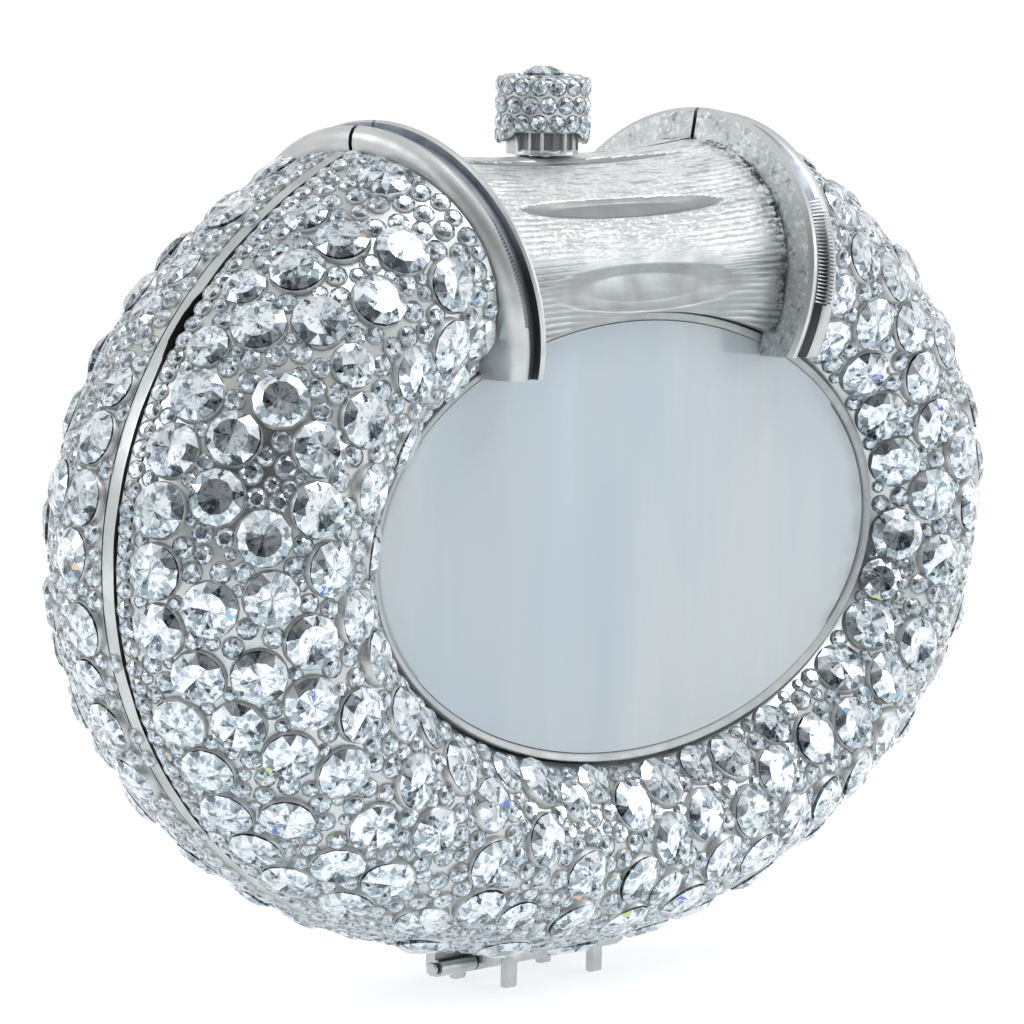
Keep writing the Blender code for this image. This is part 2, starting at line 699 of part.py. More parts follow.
def flange_profile():
    ridge = FLANGE_RIDGE_WIDTH
    groove_end = ridge + FLANGE_GROOVE_WIDTH
    band = FLANGE_THICKNESS - groove_end
    low = FLANGE_RADIUS - FLANGE_GROOVE_DEPTH
    high = FLANGE_RADIUS - FLANGE_ROUND / 2
    return [
        (0.0, FLANGE_HOLE_RADIUS),
        (0.0, high - FLANGE_ROUND),
        (FLANGE_ROUND, high),
        (ridge, high - FLANGE_ROUND / 2),
        (ridge + FLANGE_ROUND / 2, low),
        (groove_end - FLANGE_ROUND / 2, low),
        (groove_end, high),
        (groove_end + band * BAND_CREST_SHARE, FLANGE_RADIUS),
        (groove_end + band * BAND_FALL_SHARE, high - FLANGE_ROUND / 2),
        (FLANGE_THICKNESS, high - 3 * FLANGE_ROUND),
        (FLANGE_THICKNESS, FLANGE_HOLE_RADIUS),
    ]


def flange_half(side, name, surface):
    origin = Vector((side * FLANGE_INNER_FACE, 0.0, FLANGE_AXIS_HEIGHT))
    away = Vector((side * math.cos(FLANGE_TILT), 0.0, -math.sin(FLANGE_TILT)))
    up = Vector((side * math.sin(FLANGE_TILT), 0.0, math.cos(FLANGE_TILT)))
    rows = []
    for i in range(FLANGE_ROUND_STEPS + 1):
        angle = ROUND_END_ANGLE * i / FLANGE_ROUND_STEPS
        row = []
        for along, radius in flange_profile():
            point = origin + away * along + up * (radius * math.cos(angle))
            point.y = -max(radius * math.sin(angle), HALF_SEAM)
            row.append(point)
        rows.append(row)
    return finish_mesh(name, sweep(rows, closed=False), surface)


def bed_height(x, depth):
    """Height of the bed's outside at the bottom of the ring, at one distance across and from the seam."""
    turn = -math.acos(x / RING_HALF_WIDTH)
    edge, out, length = section_frame(turn)
    spot = section_point(length, math.asin(depth / RING_HALF_DEPTH), False, 0.0)[0]
    return (edge + out * spot.x).z


def foot(side, name, surface):
    """One foot: a pad under the bed and a leg with a rounded flat tip."""
    outer = FOOT_INNER + FOOT_THICKNESS
    pad_inner = FOOT_INNER - FOOT_PAD_REACH
    pad_outer = outer + FOOT_PAD_REACH
    x = side * FOOT_SPREAD
    top_inner = bed_height(FOOT_SPREAD + FOOT_WIDTH, pad_inner) - GAP
    top_inner = min(top_inner, bed_height(FOOT_SPREAD - FOOT_WIDTH, pad_inner) - GAP)
    top_outer = bed_height(FOOT_SPREAD - FOOT_WIDTH, pad_outer) - GAP
    pad_under = top_inner - FOOT_PAD_THICKNESS
    outline = [
        (-pad_inner, top_inner),
        (-pad_inner, pad_under),
        (-FOOT_INNER, pad_under),
        (-FOOT_INNER, FOOT_TIP + FOOT_ROUND),
        (-FOOT_INNER - FOOT_ROUND, FOOT_TIP),
        (-outer + FOOT_ROUND, FOOT_TIP),
        (-outer, FOOT_TIP + FOOT_ROUND),
        (-outer, pad_under),
        (-pad_outer, pad_under),
        (-pad_outer, top_outer),
    ]
    shape = prism(outline, x - FOOT_WIDTH / 2, x + FOOT_WIDTH / 2, axis="X")
    return finish_mesh(name, shape, surface)


def rim_height(x):
    """Height of the rim's outer edge under the ring at one place across."""
    return -RING_HALF_HEIGHT * math.sqrt(1.0 - (x / RING_HALF_WIDTH) ** 2)


def knuckle(index, surface):
    """One tube of the hinge with its web up to the rim of its own half."""
    front = index % 2 == 1
    hand = -1.0 if front else 1.0
    pitch = BARREL_LENGTH / KNUCKLE_COUNT
    low = -BARREL_LENGTH / 2 + pitch * index + GAP / 2
    high = low + pitch - GAP
    name = ("front" if front else "back") + "_knuckle_" + str(index + 1)
    tube_shape = prism(circle(KNUCKLE_RADIUS, SMALL_TURN_STEPS, (0.0, HINGE_HEIGHT)), low, high, axis="X")
    tube = finish_mesh(name, tube_shape, surface)
    near = hand * HALF_SEAM
    far = hand * (HALF_SEAM + KNUCKLE_WEB)
    rows = []
    for x in (low, (low + high) / 2, high):
        top = rim_height(x) - GAP
        outline = ((near, HINGE_HEIGHT), (far, HINGE_HEIGHT), (far, top), (near, top))
        rows.append([Vector((x, y, z)) for y, z in outline])
    web = finish_mesh("guide_web_" + str(index + 1), sweep(rows, closed=False), None, cutter=True)
    bore_outline = circle(KNUCKLE_BORE, SMALL_TURN_STEPS, (0.0, HINGE_HEIGHT))
    bore = prism(bore_outline, low - OVERRUN, high + OVERRUN, axis="X")
    bore = finish_mesh("guide_bore_" + str(index + 1), bore, None, cutter=True)
    boolean(tube, web, "UNION")
    boolean(tube, bore)
    for thing in (tube, web, bore):
        lift(thing)
    return tube


def hinge_pin(surface):
    end = BARREL_LENGTH / 2 + GAP
    profile = [
        (0.0, -end - PIN_HEAD_LENGTH),
        (PIN_HEAD_RADIUS, -end - PIN_HEAD_LENGTH),
        (PIN_HEAD_RADIUS, -end),
        (PIN_RADIUS, -end),
        (PIN_RADIUS, end),
        (PIN_HEAD_RADIUS, end),
        (PIN_HEAD_RADIUS, end + PIN_HEAD_LENGTH),
        (0.0, end + PIN_HEAD_LENGTH),
    ]
    thing = finish_mesh("hinge_pin", turned(profile, SMALL_TURN_STEPS), surface)
    thing.data.transform(Matrix.Rotation(math.pi / 2, 4, "Y"))
    lift(thing, CENTRE_HEIGHT + HINGE_HEIGHT)
    return thing


def cap(surface):
    """Crystal cup of the knob, with rows round it and a skirt that reaches lower on two sides."""
    profile = [(CAP_INNER_RADIUS, CAP_CEILING), (CAP_INNER_RADIUS, CAP_BASE)]
    row_height = CAP_HEIGHT / CAP_ROWS
    for row in range(CAP_ROWS):
        low = CAP_BASE + row_height * row
        profile.append((CAP_RADIUS - CAP_ROW_GROOVE, low))
        profile.append((CAP_RADIUS, low + row_height / 2))
    profile.append((CAP_RADIUS - CAP_ROW_GROOVE, CAP_TOP_HEIGHT))
    profile.append((0.0, CAP_TOP_HEIGHT))
    profile.insert(0, (0.0, CAP_CEILING))
    shape = turned(profile)
    for vertex in [v for v in shape.verts if v.co.z < CAP_BASE + CAP_WALL / 4]:
        angle = math.atan2(vertex.co.y, vertex.co.x)
        for middle in SKIRT_MIDDLES:
            away = abs((angle - middle + math.pi) % (2 * math.pi) - math.pi)
            if away < SKIRT_HALF_ANGLE:
                vertex.co.z -= SKIRT_DROP * math.cos(away / SKIRT_HALF_ANGLE * math.pi / 2) ** SKIRT_STEEPNESS
    return finish_mesh("knob_cap", shape, surface)


def crystal(surface):
    profile = [
        (0.0, CAP_TOP_HEIGHT + GAP),
        (CRYSTAL_RADIUS, CAP_TOP_HEIGHT + GAP),
        (CRYSTAL_RADIUS * CRYSTAL_CROWN_SHARE, CAP_TOP_HEIGHT + GAP + CRYSTAL_HEIGHT * CRYSTAL_GIRDLE_SHARE),
        (0.0, CAP_TOP_HEIGHT + GAP + CRYSTAL_HEIGHT),
    ]
    return finish_mesh("knob_crystal", turned(profile, CRYSTAL_SIDES), surface)


def post(surface):
    """Fluted sleeve that the cap slides on, with a window in front and a tenon into the rear spool."""
    profile = [
        (POST_BORE, POST_BASE),
        (POST_RADIUS, POST_BASE),
        (POST_RADIUS, POST_TOP),
        (POST_BORE, POST_TOP),
    ]
    thing = finish_mesh("knob_post", turned(profile), surface)
    flutes = bmesh.new()
    for i in range(FLUTE_COUNT):
        angle = FLUTE_FIRST + (FLUTE_LAST - FLUTE_FIRST) * i / (FLUTE_COUNT - 1)
        if abs(angle - WINDOW_TURN) < WINDOW_HALF_TURN:
            continue
        middle = (POST_RADIUS * math.cos(angle), POST_RADIUS * math.sin(angle))
        outline = circle(FLUTE_RADIUS, FLUTE_SIDES, middle)
        ring_low = [flutes.verts.new((x, y, POST_BASE + FLUTE_RADIUS)) for x, y in outline]
        ring_high = [flutes.verts.new((x, y, POST_TOP + OVERRUN)) for x, y in outline]
        for j in range(len(outline)):
            k = (j + 1) % len(outline)
            flutes.faces.new((ring_low[j], ring_low[k], ring_high[k], ring_high[j]))
        flutes.faces.new(list(reversed(ring_low)))
        flutes.faces.new(ring_high)
    flutes = finish_mesh("guide_flutes", flutes, None, cutter=True)
    window_low = POST_BASE + CAP_LIFT / 2 - WINDOW_HEIGHT / 2
    window = box(
        (-WINDOW_WIDTH / 2, -POST_RADIUS - OVERRUN, window_low),
        (WINDOW_WIDTH / 2, -POST_BORE, window_low + WINDOW_HEIGHT),
    )
    window = finish_mesh("guide_window", window, None, cutter=True)
    window.data.transform(Matrix.Rotation(WINDOW_TURN + math.pi / 2, 4, "Z"))
    tenon_top = POST_BASE + POST_BORE
    nut_top = spool_inner_height(TENON_OFFSET + NUT_RADIUS) - GAP
    tenon_outline = circle(TENON_RADIUS, SMALL_TURN_STEPS, (0.0, TENON_OFFSET))
    tenon = prism(tenon_outline, nut_top - NUT_THICKNESS - GAP, tenon_top, "Z")
    tenon = finish_mesh("guide_tenon", tenon, None, cutter=True)
    boolean(thing, flutes)
    boolean(thing, window)
    boolean(thing, tenon, "UNION")
    for item in (thing, flutes, window, tenon):
        lift(item)
    return thing


def spool_inner_height(depth):
    return FLANGE_AXIS_HEIGHT + math.sqrt(SPOOL_INNER_RADIUS ** 2 - depth ** 2) * SPOOL_CREST_SHARE


def post_nut(surface):
    top = spool_inner_height(TENON_OFFSET + NUT_RADIUS) - GAP
    profile = [
        (TENON_RADIUS + GAP, top - NUT_THICKNESS),
        (NUT_RADIUS, top - NUT_THICKNESS),
        (NUT_RADIUS, top),
        (TENON_RADIUS + GAP, top),
    ]
    thing = finish_mesh("post_nut", turned(profile, NUT_SIDES), surface)
    thing.data.transform(Matrix.Translation((0.0, TENON_OFFSET, 0.0)))
    return thing


def catch_levels():
    """Heights of the catch plate, its lip and the hook under it."""
    plate_top = spool_inner_height(CATCH_REACH) - GAP
    plate_low = plate_top - CATCH_THICKNESS
    lip_low = plate_low - LIP_LENGTH
    tooth_top = lip_low - TOOTH_CLEARANCE
    hook_top = tooth_top - TOOTH_HEIGHT
    return plate_top, plate_low, lip_low, tooth_top, hook_top


def catch(surface):
    plate_top, plate_low, lip_low, _, _ = catch_levels()
    outline = [
        (-LIP_SETBACK, plate_top),
        (-CATCH_REACH, plate_top),
        (-CATCH_REACH, plate_low),
        (-LIP_SETBACK - LIP_THICKNESS, plate_low),
        (-LIP_SETBACK - LIP_THICKNESS, lip_low),
        (-LIP_SETBACK, lip_low),
    ]
    return finish_mesh("catch_plate", prism(outline, -CATCH_WIDTH / 2, CATCH_WIDTH / 2, axis="X"), surface)


def hook(surface):
    _, _, _, tooth_top, hook_top = catch_levels()
    hook_low = hook_top - HOOK_THICKNESS
    tooth_back = -(LIP_SETBACK + LIP_THICKNESS + TOOTH_CLEARANCE)
    outline = [
        (PLUNGER_RADIUS, hook_low),
        (PLUNGER_RADIUS, hook_top),
        (tooth_back, hook_top),
        (tooth_back, tooth_top),
        (tooth_back - TOOTH_WIDTH, tooth_top),
        (tooth_back - TOOTH_WIDTH, hook_low),
    ]
    return finish_mesh("latch_hook", prism(outline, -HOOK_HALF_WIDTH, HOOK_HALF_WIDTH, axis="X"), surface)


def plunger(surface):
    _, _, _, _, hook_top = catch_levels()
    profile = [
        (0.0, hook_top + GAP),
        (PLUNGER_RADIUS, hook_top + GAP),
        (PLUNGER_RADIUS, CAP_CEILING - GAP),
        (0.0, CAP_CEILING - GAP),
    ]
    return finish_mesh("plunger", turned(profile, SMALL_TURN_STEPS), surface)


def spring(surface):
    """Return spring round the plunger, at the height that it has when the knob is pressed."""
    low = POST_TOP + GAP + SPRING_WIRE_RADIUS
    high = CAP_CEILING - KNOB_TRAVEL - GAP - SPRING_WIRE_RADIUS
    steps = SPRING_TURNS * SPRING_TURN_STEPS
    wire = circle(SPRING_WIRE_RADIUS, WIRE_SIDES)
    rows = []
    for i in range(steps + 1):
        angle = 2 * math.pi * i / SPRING_TURN_STEPS
        height = low + (high - low) * i / steps
        out = Vector((math.cos(angle), math.sin(angle), 0.0))
        centre = out * SPRING_RADIUS + Vector((0.0, 0.0, height))
        rows.append([centre + out * x + Vector((0.0, 0.0, y)) for x, y in wire])
    return finish_mesh("return_spring", sweep(rows, closed=False), surface)


def mirrored(thing, name):
    """The same piece for the rear half, mirrored across the seam plane with its cuts applied."""
    bpy.context.view_layer.update()
    graph = bpy.context.evaluated_depsgraph_get()
    mesh = bpy.data.meshes.new_from_object(thing.evaluated_get(graph))
    mesh.name = name
    mesh.transform(Matrix.Diagonal((1.0, -1.0, 1.0, 1.0)))
    mesh.flip_normals()
    twin = bpy.data.objects.new(name, mesh)
    bpy.context.scene.collection.objects.link(twin)
    return twin


def build_half(metal, crystals, pearl, cloth, polished):
    """All pieces of the front half, and their twins on the rear half."""
    deep = RING_HALF_DEPTH + STONE_HEIGHT + OVERRUN
    wedge = spool_wedge("guide_wedge", GAP, 0.0, -deep, deep)
    shell_wedge = spool_wedge("guide_shell_wedge", GAP, 0.0, -deep, deep)
    land = prism(oval(EDGE_HALF_WIDTH + LEDGE_LAND, EDGE_HALF_HEIGHT + LEDGE_LAND, -PANEL_DROP), -deep, deep)
    land = finish_mesh("guide_land", land, None, cutter=True)
    boolean(shell_wedge, land)
    shelf = spool_wedge("guide_shelf", LINING_END_ROOM, SHELF_HEIGHT, -deep, deep)
    inner_shelf = spool_wedge(
        "guide_inner_shelf", LINING_END_ROOM + LINING_WALL, SHELF_HEIGHT - LINING_WALL, -deep, deep
    )
    opening = prism(oval(EDGE_HALF_WIDTH, EDGE_HALF_HEIGHT, -PANEL_DROP), -deep, deep)
    opening = finish_mesh("guide_opening", opening, None, cutter=True)
    behind = prism(oval(EDGE_HALF_WIDTH, EDGE_HALF_HEIGHT, -PANEL_DROP), -BEZEL_FRONT - GAP, deep)
    behind = finish_mesh("guide_behind", behind, None, cutter=True)
    under = box((-RING_HALF_WIDTH, -deep, -OVERRUN), (RING_HALF_WIDTH, deep, FLANGE_END_HEIGHT))
    under = finish_mesh("guide_under", under, None, cutter=True)
    notch = prism(circle(NOTCH_RADIUS, SMALL_TURN_STEPS), SHELF_HEIGHT, CREST_HEIGHT + OVERRUN, "Z")
    notch = finish_mesh("guide_notch", notch, None, cutter=True)
    hollow = dish("guide_hollow", LINING_INSET + LINING_WALL, 0.0, FLOOR_BACK, None, True)
    boolean(hollow, inner_shelf)
    front_stones = stone_cutter("guide_front_stones", FRONT_STONE_PIXELS, -1.0)
    back_stones = stone_cutter("guide_back_stones", BACK_STONE_PIXELS, 1.0)

    bed = finish_mesh("front_crystal_bed", sweep(ring_rows(bed_section), closed=True), crystals, smooth=False)
    boolean(bed, wedge)
    shell = finish_mesh("front_shell", sweep(ring_rows(shell_section), closed=True), metal)
    boolean(shell, shell_wedge)
    rim = finish_mesh("front_rim", sweep(ring_rows(rim_section), closed=True), polished)
    boolean(rim, wedge)
    lining = dish("front_lining", LINING_INSET, SHELL_END, FLOOR_FRONT, cloth, False)
    boolean(lining, shelf)
    boolean(lining, hollow)
    panel = panel_plate(pearl)
    bezel = bezel_ring(polished)
    saddle = spool_half(metal)
    boolean(saddle, opening)
    boolean(saddle, notch)
    flanges = []
    for side, word in ((-1.0, "left"), (1.0, "right")):
        piece = flange_half(side, "front_" + word + "_flange", polished)
        boolean(piece, under)
        boolean(piece, behind)
        flanges.append(piece)
    feet = [
        foot(-1.0, "front_left_foot", polished),
        foot(1.0, "front_right_foot", polished),
    ]
    guides = [wedge, shell_wedge, land, shelf, inner_shelf, opening, behind, under, notch, hollow]
    guides += [front_stones, back_stones]
    pieces = [bed, shell, rim, lining, panel, bezel, saddle, *flanges, *feet]
    for thing in guides + pieces:
        lift(thing)
    twins = [mirrored(thing, thing.name.replace("front", "back")) for thing in pieces]
    boolean(bed, front_stones, "UNION")
    boolean(twins[0], back_stones, "UNION")
    return pieces, twins


def build_knob(crystals, metal, polished, twins):
    """The push knob on its sleeve, its latch and the catch."""
    moving = [cap(crystals), crystal(crystals), plunger(polished), hook(metal)]
    fixed = [post_nut(metal), spring(metal), catch(metal)]
    for thing in moving + fixed:
        lift(thing)
    sleeve = post(polished)
    hole_outline = circle(TENON_RADIUS + GAP, SMALL_TURN_STEPS, (0.0, TENON_OFFSET))
    hole = prism(hole_outline, SHELF_HEIGHT, CREST_HEIGHT + OVERRUN, "Z")
    hole = finish_mesh("guide_hole", hole, None, cutter=True)
    lift(hole)
    for twin in twins:
        if twin.name == "back_spool":
            boolean(twin, hole)
    return moving, fixed, sleeve


def parent_to(things, name, place):
    """Hang the pieces of one moving body on an empty that stands on its joint's axis."""
    empty = bpy.data.objects.new(name, None)
    empty.location = place
    bpy.context.scene.collection.objects.link(empty)
    bpy.context.view_layer.update()
    for thing in things:
        thing.parent = empty
        thing.matrix_parent_inverse = empty.matrix_world.inverted()


def main():
    clear_scene()
    metal = material("hammered silver plate", (0.78, 0.79, 0.79), 0.30, 1.0)
    polished = material("polished silver plate", (0.86, 0.87, 0.88), 0.12, 1.0)
    crystals = material("clear crystals", (0.80, 0.83, 0.86), 0.10, 0.35)
    pearl = material("pearl panel", (0.72, 0.79, 0.84), 0.18, 0.0)
    cloth = material("grey satin lining", (0.42, 0.43, 0.45), 0.60, 0.0)
    pieces, twins = build_half(metal, crystals, pearl, cloth, polished)
    moving, fixed, sleeve = build_knob(crystals, metal, polished, twins)
    knuckles = [knuckle(index, polished) for index in range(KNUCKLE_COUNT)]
    hinge_pin(polished)
    front = pieces + [thing for thing in knuckles if thing.name.startswith("front")]
    front += [thing for thing in fixed if thing.name == "catch_plate"]
    parent_to(front, "front_half_axis", (0.0, 0.0, CENTRE_HEIGHT + HINGE_HEIGHT))
    parent_to(moving, "knob_axis", (0.0, 0.0, CENTRE_HEIGHT + POST_BASE))


main()
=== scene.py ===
"""Finishes of an oval evening clutch: paved crystals, hammered plate, pearly panels, satin and a studio."""

import math
import random
from collections import deque
from typing import NamedTuple

import bmesh
import bpy
from bpy.props import FloatProperty, FloatVectorProperty, IntProperty, PointerProperty
from bpy.types import Operator, Panel, PropertyGroup
from mathutils import Matrix, Vector
from mathutils.bvhtree import BVHTree


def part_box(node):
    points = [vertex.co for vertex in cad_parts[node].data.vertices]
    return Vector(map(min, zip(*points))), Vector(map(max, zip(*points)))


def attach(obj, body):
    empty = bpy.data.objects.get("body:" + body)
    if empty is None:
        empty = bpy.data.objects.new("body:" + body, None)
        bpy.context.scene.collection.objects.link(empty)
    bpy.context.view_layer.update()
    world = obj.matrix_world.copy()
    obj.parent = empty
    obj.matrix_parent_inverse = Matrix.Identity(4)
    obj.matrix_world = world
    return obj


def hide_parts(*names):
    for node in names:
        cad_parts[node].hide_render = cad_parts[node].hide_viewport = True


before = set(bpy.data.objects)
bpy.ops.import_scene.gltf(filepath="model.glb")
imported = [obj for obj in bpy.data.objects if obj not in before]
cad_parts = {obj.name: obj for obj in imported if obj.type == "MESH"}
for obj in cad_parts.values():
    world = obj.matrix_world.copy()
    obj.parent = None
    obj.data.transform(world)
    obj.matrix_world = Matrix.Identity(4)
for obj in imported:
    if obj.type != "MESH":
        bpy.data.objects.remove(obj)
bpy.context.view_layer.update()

bl_info = {
    "name": "Paved Evening Clutch",
    "version": (1, 0, 0),
    "blender": (4, 5, 0),
    "location": "View3D > Sidebar > Clutch",
    "description": "Dresses an oval evening clutch with crystals, plated metal, pearly panels and satin",
    "category": "Object",
}

FULL_TURN = 2 * math.pi
UPWARD = Vector((0.0, 0.0, 1.0))

# Halves of the case and sides of a half: word, and the sign of Y or X that it lies on
HALVES = (("front", -1.0), ("back", 1.0))
SIDES = (("left", -1.0), ("right", 1.0))

# Sizes read from the frame, in metres
RIM_LOW, RIM_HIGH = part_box("front_rim")
BEZEL_LOW, BEZEL_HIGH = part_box("front_bezel")
PANEL_LOW, PANEL_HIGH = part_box("front_panel")
CAP_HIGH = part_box("knob_cap")[1]
GAP = 0.0003
SNUG = 0.00022
PANEL_DROP = 0.0007
CENTRE = (PANEL_LOW.z + PANEL_HIGH.z) / 2 + PANEL_DROP
RING_MIDDLE = Vector((0.0, 0.0, CENTRE))
HALF_WIDTH = RIM_HIGH.x
HALF_HEIGHT = CENTRE - RIM_LOW.z
SEAM_DEPTH = -RIM_HIGH.y
RIM_TOP = -RIM_LOW.y
BED_END = RIM_TOP + GAP
PANEL_HALF_WIDTH = PANEL_HIGH.x
PANEL_HALF_HEIGHT = (PANEL_HIGH.z - PANEL_LOW.z) / 2
PANEL_FRONT = -PANEL_LOW.y
PANEL_BACK = -PANEL_HIGH.y
EDGE_HALF_WIDTH = BEZEL_HIGH.x + GAP
EDGE_HALF_HEIGHT = (BEZEL_HIGH.z - BEZEL_LOW.z) / 2 + GAP

# Section of the ring
BED_DEPTH = 0.0222
EDGE_DEPTH = 0.0162
CREST_SHARE = 0.40
EDGE_ANGLE = math.asin(EDGE_DEPTH / BED_DEPTH)
SEAM_ANGLE = math.asin(BED_END / BED_DEPTH)
BED_THICKNESS = 0.0009
BED_STEPS = 220
RIM_STEPS = 480

# Crystals that stand on the solids: table against girdle, height, number of sides, and slack in telling a size
SOLID_TABLE_SHARE = 0.76
SOLID_HEIGHT = 0.0015
SOLID_SIDES = 6
SIZE_SLACK = 0.02

# Flanges and spool
FLANGE_TILT = math.radians(12.2)
FLANGE_AXIS = CENTRE + 0.0304
FLANGE_FACE = 0.0270
FLANGE_THICKNESS = 0.0062
FLANGE_RADIUS = 0.0247
FLANGE_END = CENTRE + 0.0219
SPOOL_WAIST = 0.0187
SPOOL_FLARED = 0.0203
SPOOL_WALL = 0.0015
SPOOL_FLARE = 2.4
SPOOL_CREST_SHARE = 0.97
SCOOP_ANGLES = (math.radians(14.0), math.radians(48.0), math.radians(84.0))
SCOOP_HALF_ANGLE = math.radians(10.0)
SCOOP_LENGTH_SHARE = 0.74
SCOOP_WIDTHS = (0.4, 0.55, 1.0)
SCOOP_DEPTH = 0.0007
ROUND_END = math.radians(128.0)

# Hinge and feet that keep the stones away
HINGE_REACH = 0.0200
HINGE_ROOM = 0.0042
FOOT_LOW, FOOT_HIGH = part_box("front_left_foot")
FOOT_ROOM = 0.0003

# Knob
CAP_HEIGHT = 0.0072
CAP_ROWS = 3
CAP_WALL = 0.0010
SKIRT_DROP = 0.0016
SKIRT_STEEPNESS = 0.6
SKIRT_MIDDLES = (math.radians(125.0), math.radians(-25.0))
SKIRT_HALF_ANGLE = math.radians(55.0)

# Photograph frame
FRAME_PIXELS = 1024
SENSOR_WIDTH = 36.0

# Spark values that pick a glint's colour, and the glints: pixel column, pixel row and spark value
SPARKS = (0.2, 0.35, 0.6, 0.75, 0.9)
GLINTS = (
    (847, 410, 0.2), (882, 375, 0.2), (912, 575, 0.2), (505, 805, 0.2), (407, 808, 0.35),
    (897, 698, 0.35), (102, 624, 0.2), (65, 575, 0.2), (495, 773, 0.6), (580, 900, 0.6),
    (700, 778, 0.75), (140, 310, 0.6), (75, 565, 0.6), (397, 470, 0.6), (645, 903, 0.9),
)


class ClutchPavingSettings(PropertyGroup):
    """Sizes of the crystals and how closely they are set."""

    large_radius: FloatProperty(
        name="Large crystal radius", description="Girdle radius of the large crystals",
        default=0.0036, unit="LENGTH",
    )
    middle_radius: FloatProperty(
        name="Middle crystal radius", description="Girdle radius of the middle crystals",
        default=0.0029, unit="LENGTH",
    )
    small_radius: FloatProperty(
        name="Small crystal radius", description="Girdle radius of the small crystals",
        default=0.00142, unit="LENGTH",
    )
    least_radius: FloatProperty(
        name="Least crystal radius", description="Girdle radius of the crystals in the narrowest gaps",
        default=0.00086, unit="LENGTH",
    )
    seam_room: FloatProperty(
        name="Room at the seam", description="Bare metal left between the small crystals and the seam",
        default=0.00015, unit="LENGTH",
    )
    knob_radius: FloatProperty(
        name="Knob crystal radius", description="Girdle radius of the crystals round the knob",
        default=0.00114, unit="LENGTH",
    )
    seed: IntProperty(name="Seed", description="Start of the random draws", default=7)


class ClutchMetalSettings(PropertyGroup):
    """Colours and relief of the plated metal."""

    plate_colour: FloatVectorProperty(
        name="Plate colour", description="Silver plate of beds, cups and cast pieces",
        default=(0.55, 0.58, 0.58), subtype="COLOR", size=3,
    )
    polished_colour: FloatVectorProperty(
        name="Polished colour", description="Polished plate of flanges, rims and bezels",
        default=(0.70, 0.72, 0.72), subtype="COLOR", size=3,
    )
    spool_colour: FloatVectorProperty(
        name="Spool colour", description="Sandblasted plate of the spool",
        default=(0.60, 0.63, 0.64), subtype="COLOR", size=3,
    )
    # The groove colour is painted shade: it darkens the flanges' grooves, the slot in the parting line and the
    # flanges' faces at the parting plane.
    slate_colour: FloatVectorProperty(
        name="Groove colour", description="Plate painted dark as shade in the grooves, the seam's slot and the flanges' parting faces",
        default=(0.26, 0.29, 0.33), subtype="COLOR", size=3,
    )
    ridge_height: FloatProperty(
        name="Ridge height", description="Height of the wavy ridges at the ends of the spool",
        default=0.00020, unit="LENGTH",
    )
    ridge_count: IntProperty(name="Ridges", description="Ridges over one radian of the spool", default=22)
    knurl_depth: FloatProperty(
        name="Knurl depth", description="Depth of the cuts beside the groove of a flange",
        default=0.00060, unit="LENGTH",
    )


class ClutchPanelSettings(PropertyGroup):
    """Colours of the pearly panels and the lining."""

    pearl_dark: FloatVectorProperty(
        name="Pearl shade", description="Darker streaks of the pearly panel",
        default=(0.53, 0.625, 0.70), subtype="COLOR", size=3,
    )
    pearl_light: FloatVectorProperty(
        name="Pearl light", description="Lighter streaks of the pearly panel",
        default=(0.60, 0.70, 0.77), subtype="COLOR", size=3,
    )
    lining_colour: FloatVectorProperty(
        name="Lining colour", description="Satin of the lining",
        default=(0.30, 0.31, 0.33), subtype="COLOR", size=3,
    )


class ClutchStageSettings(PropertyGroup):
    """Camera, floor and light."""

    azimuth: FloatProperty(
        name="Azimuth", description="Camera's turn to the left of the front",
        default=math.radians(49.4), subtype="ANGLE",
    )
    elevation: FloatProperty(
        name="Elevation", description="Camera's angle above the horizon",
        default=math.radians(6.4), subtype="ANGLE",
    )
    roll: FloatProperty(
        name="Roll", description="Camera's tilt about its own view",
        default=math.radians(1.1), subtype="ANGLE",
    )
    distance: FloatProperty(
        name="Distance", description="From the middle of the ring to the camera",
        default=0.884, unit="LENGTH",
    )
    focal_pixels: FloatProperty(
        name="Focal length in pixels", description="Focal length on a frame 1024 pixels wide", default=6630.0
    )
    aim: FloatVectorProperty(
        name="Aim", description="Point looked at, from the middle of the ring",
        default=(-0.00469, 0.0, 0.00138), subtype="TRANSLATION", size=3,
    )
    floor_colour: FloatVectorProperty(
        name="Floor colour", description="Pale floor", default=(0.86, 0.87, 0.88), subtype="COLOR", size=3
    )
    sky_light: FloatProperty(
        name="Room light", description="Strength of the room's light on the object", default=0.50
    )
    lamp_power: FloatProperty(
        name="Lamp power", description="Power of the key lamp", default=3.0, unit="POWER"
    )


def paving():
    return bpy.context.scene.clutch_paving


def metal():
    return bpy.context.scene.clutch_metal


def panels():
    return bpy.context.scene.clutch_panels


def studio():
    return bpy.context.scene.clutch_stage


# Pieces and their meshes

def mesh_of(name, shape):
    """Turn a bmesh into a mesh."""
    mesh = bpy.data.meshes.new(name)
    shape.to_mesh(mesh)
    shape.free()
    return mesh


def add_object(name, data):
    """New object of the scene."""
    made = bpy.data.objects.new(name, data)
    bpy.context.scene.collection.objects.link(made)
    return made


def finish_piece(name, shape, words, body, nodes, smooth_angle=None):
    """Make a piece of a bmesh, give it its materials, and set it in the frame."""
    mesh = mesh_of(name, shape)
    for word in words:
        mesh.materials.append(surface(word))
    if smooth_angle is not None:
        mesh.shade_smooth()
        mesh.set_sharp_from_angle(angle=smooth_angle)
    piece = add_object(name, mesh)
    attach(piece, body)
    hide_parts(*nodes)
    return piece


def finish_half(half, name, shape, words, node, smooth_angle):
    """Finish a shape made for the front as a piece of one half."""
    word, hand = half
    mirror_half(shape, hand)
    tidy_normals(shape)
    return finish_piece(word + name, shape, words, word + "_half", [word + node], smooth_angle)


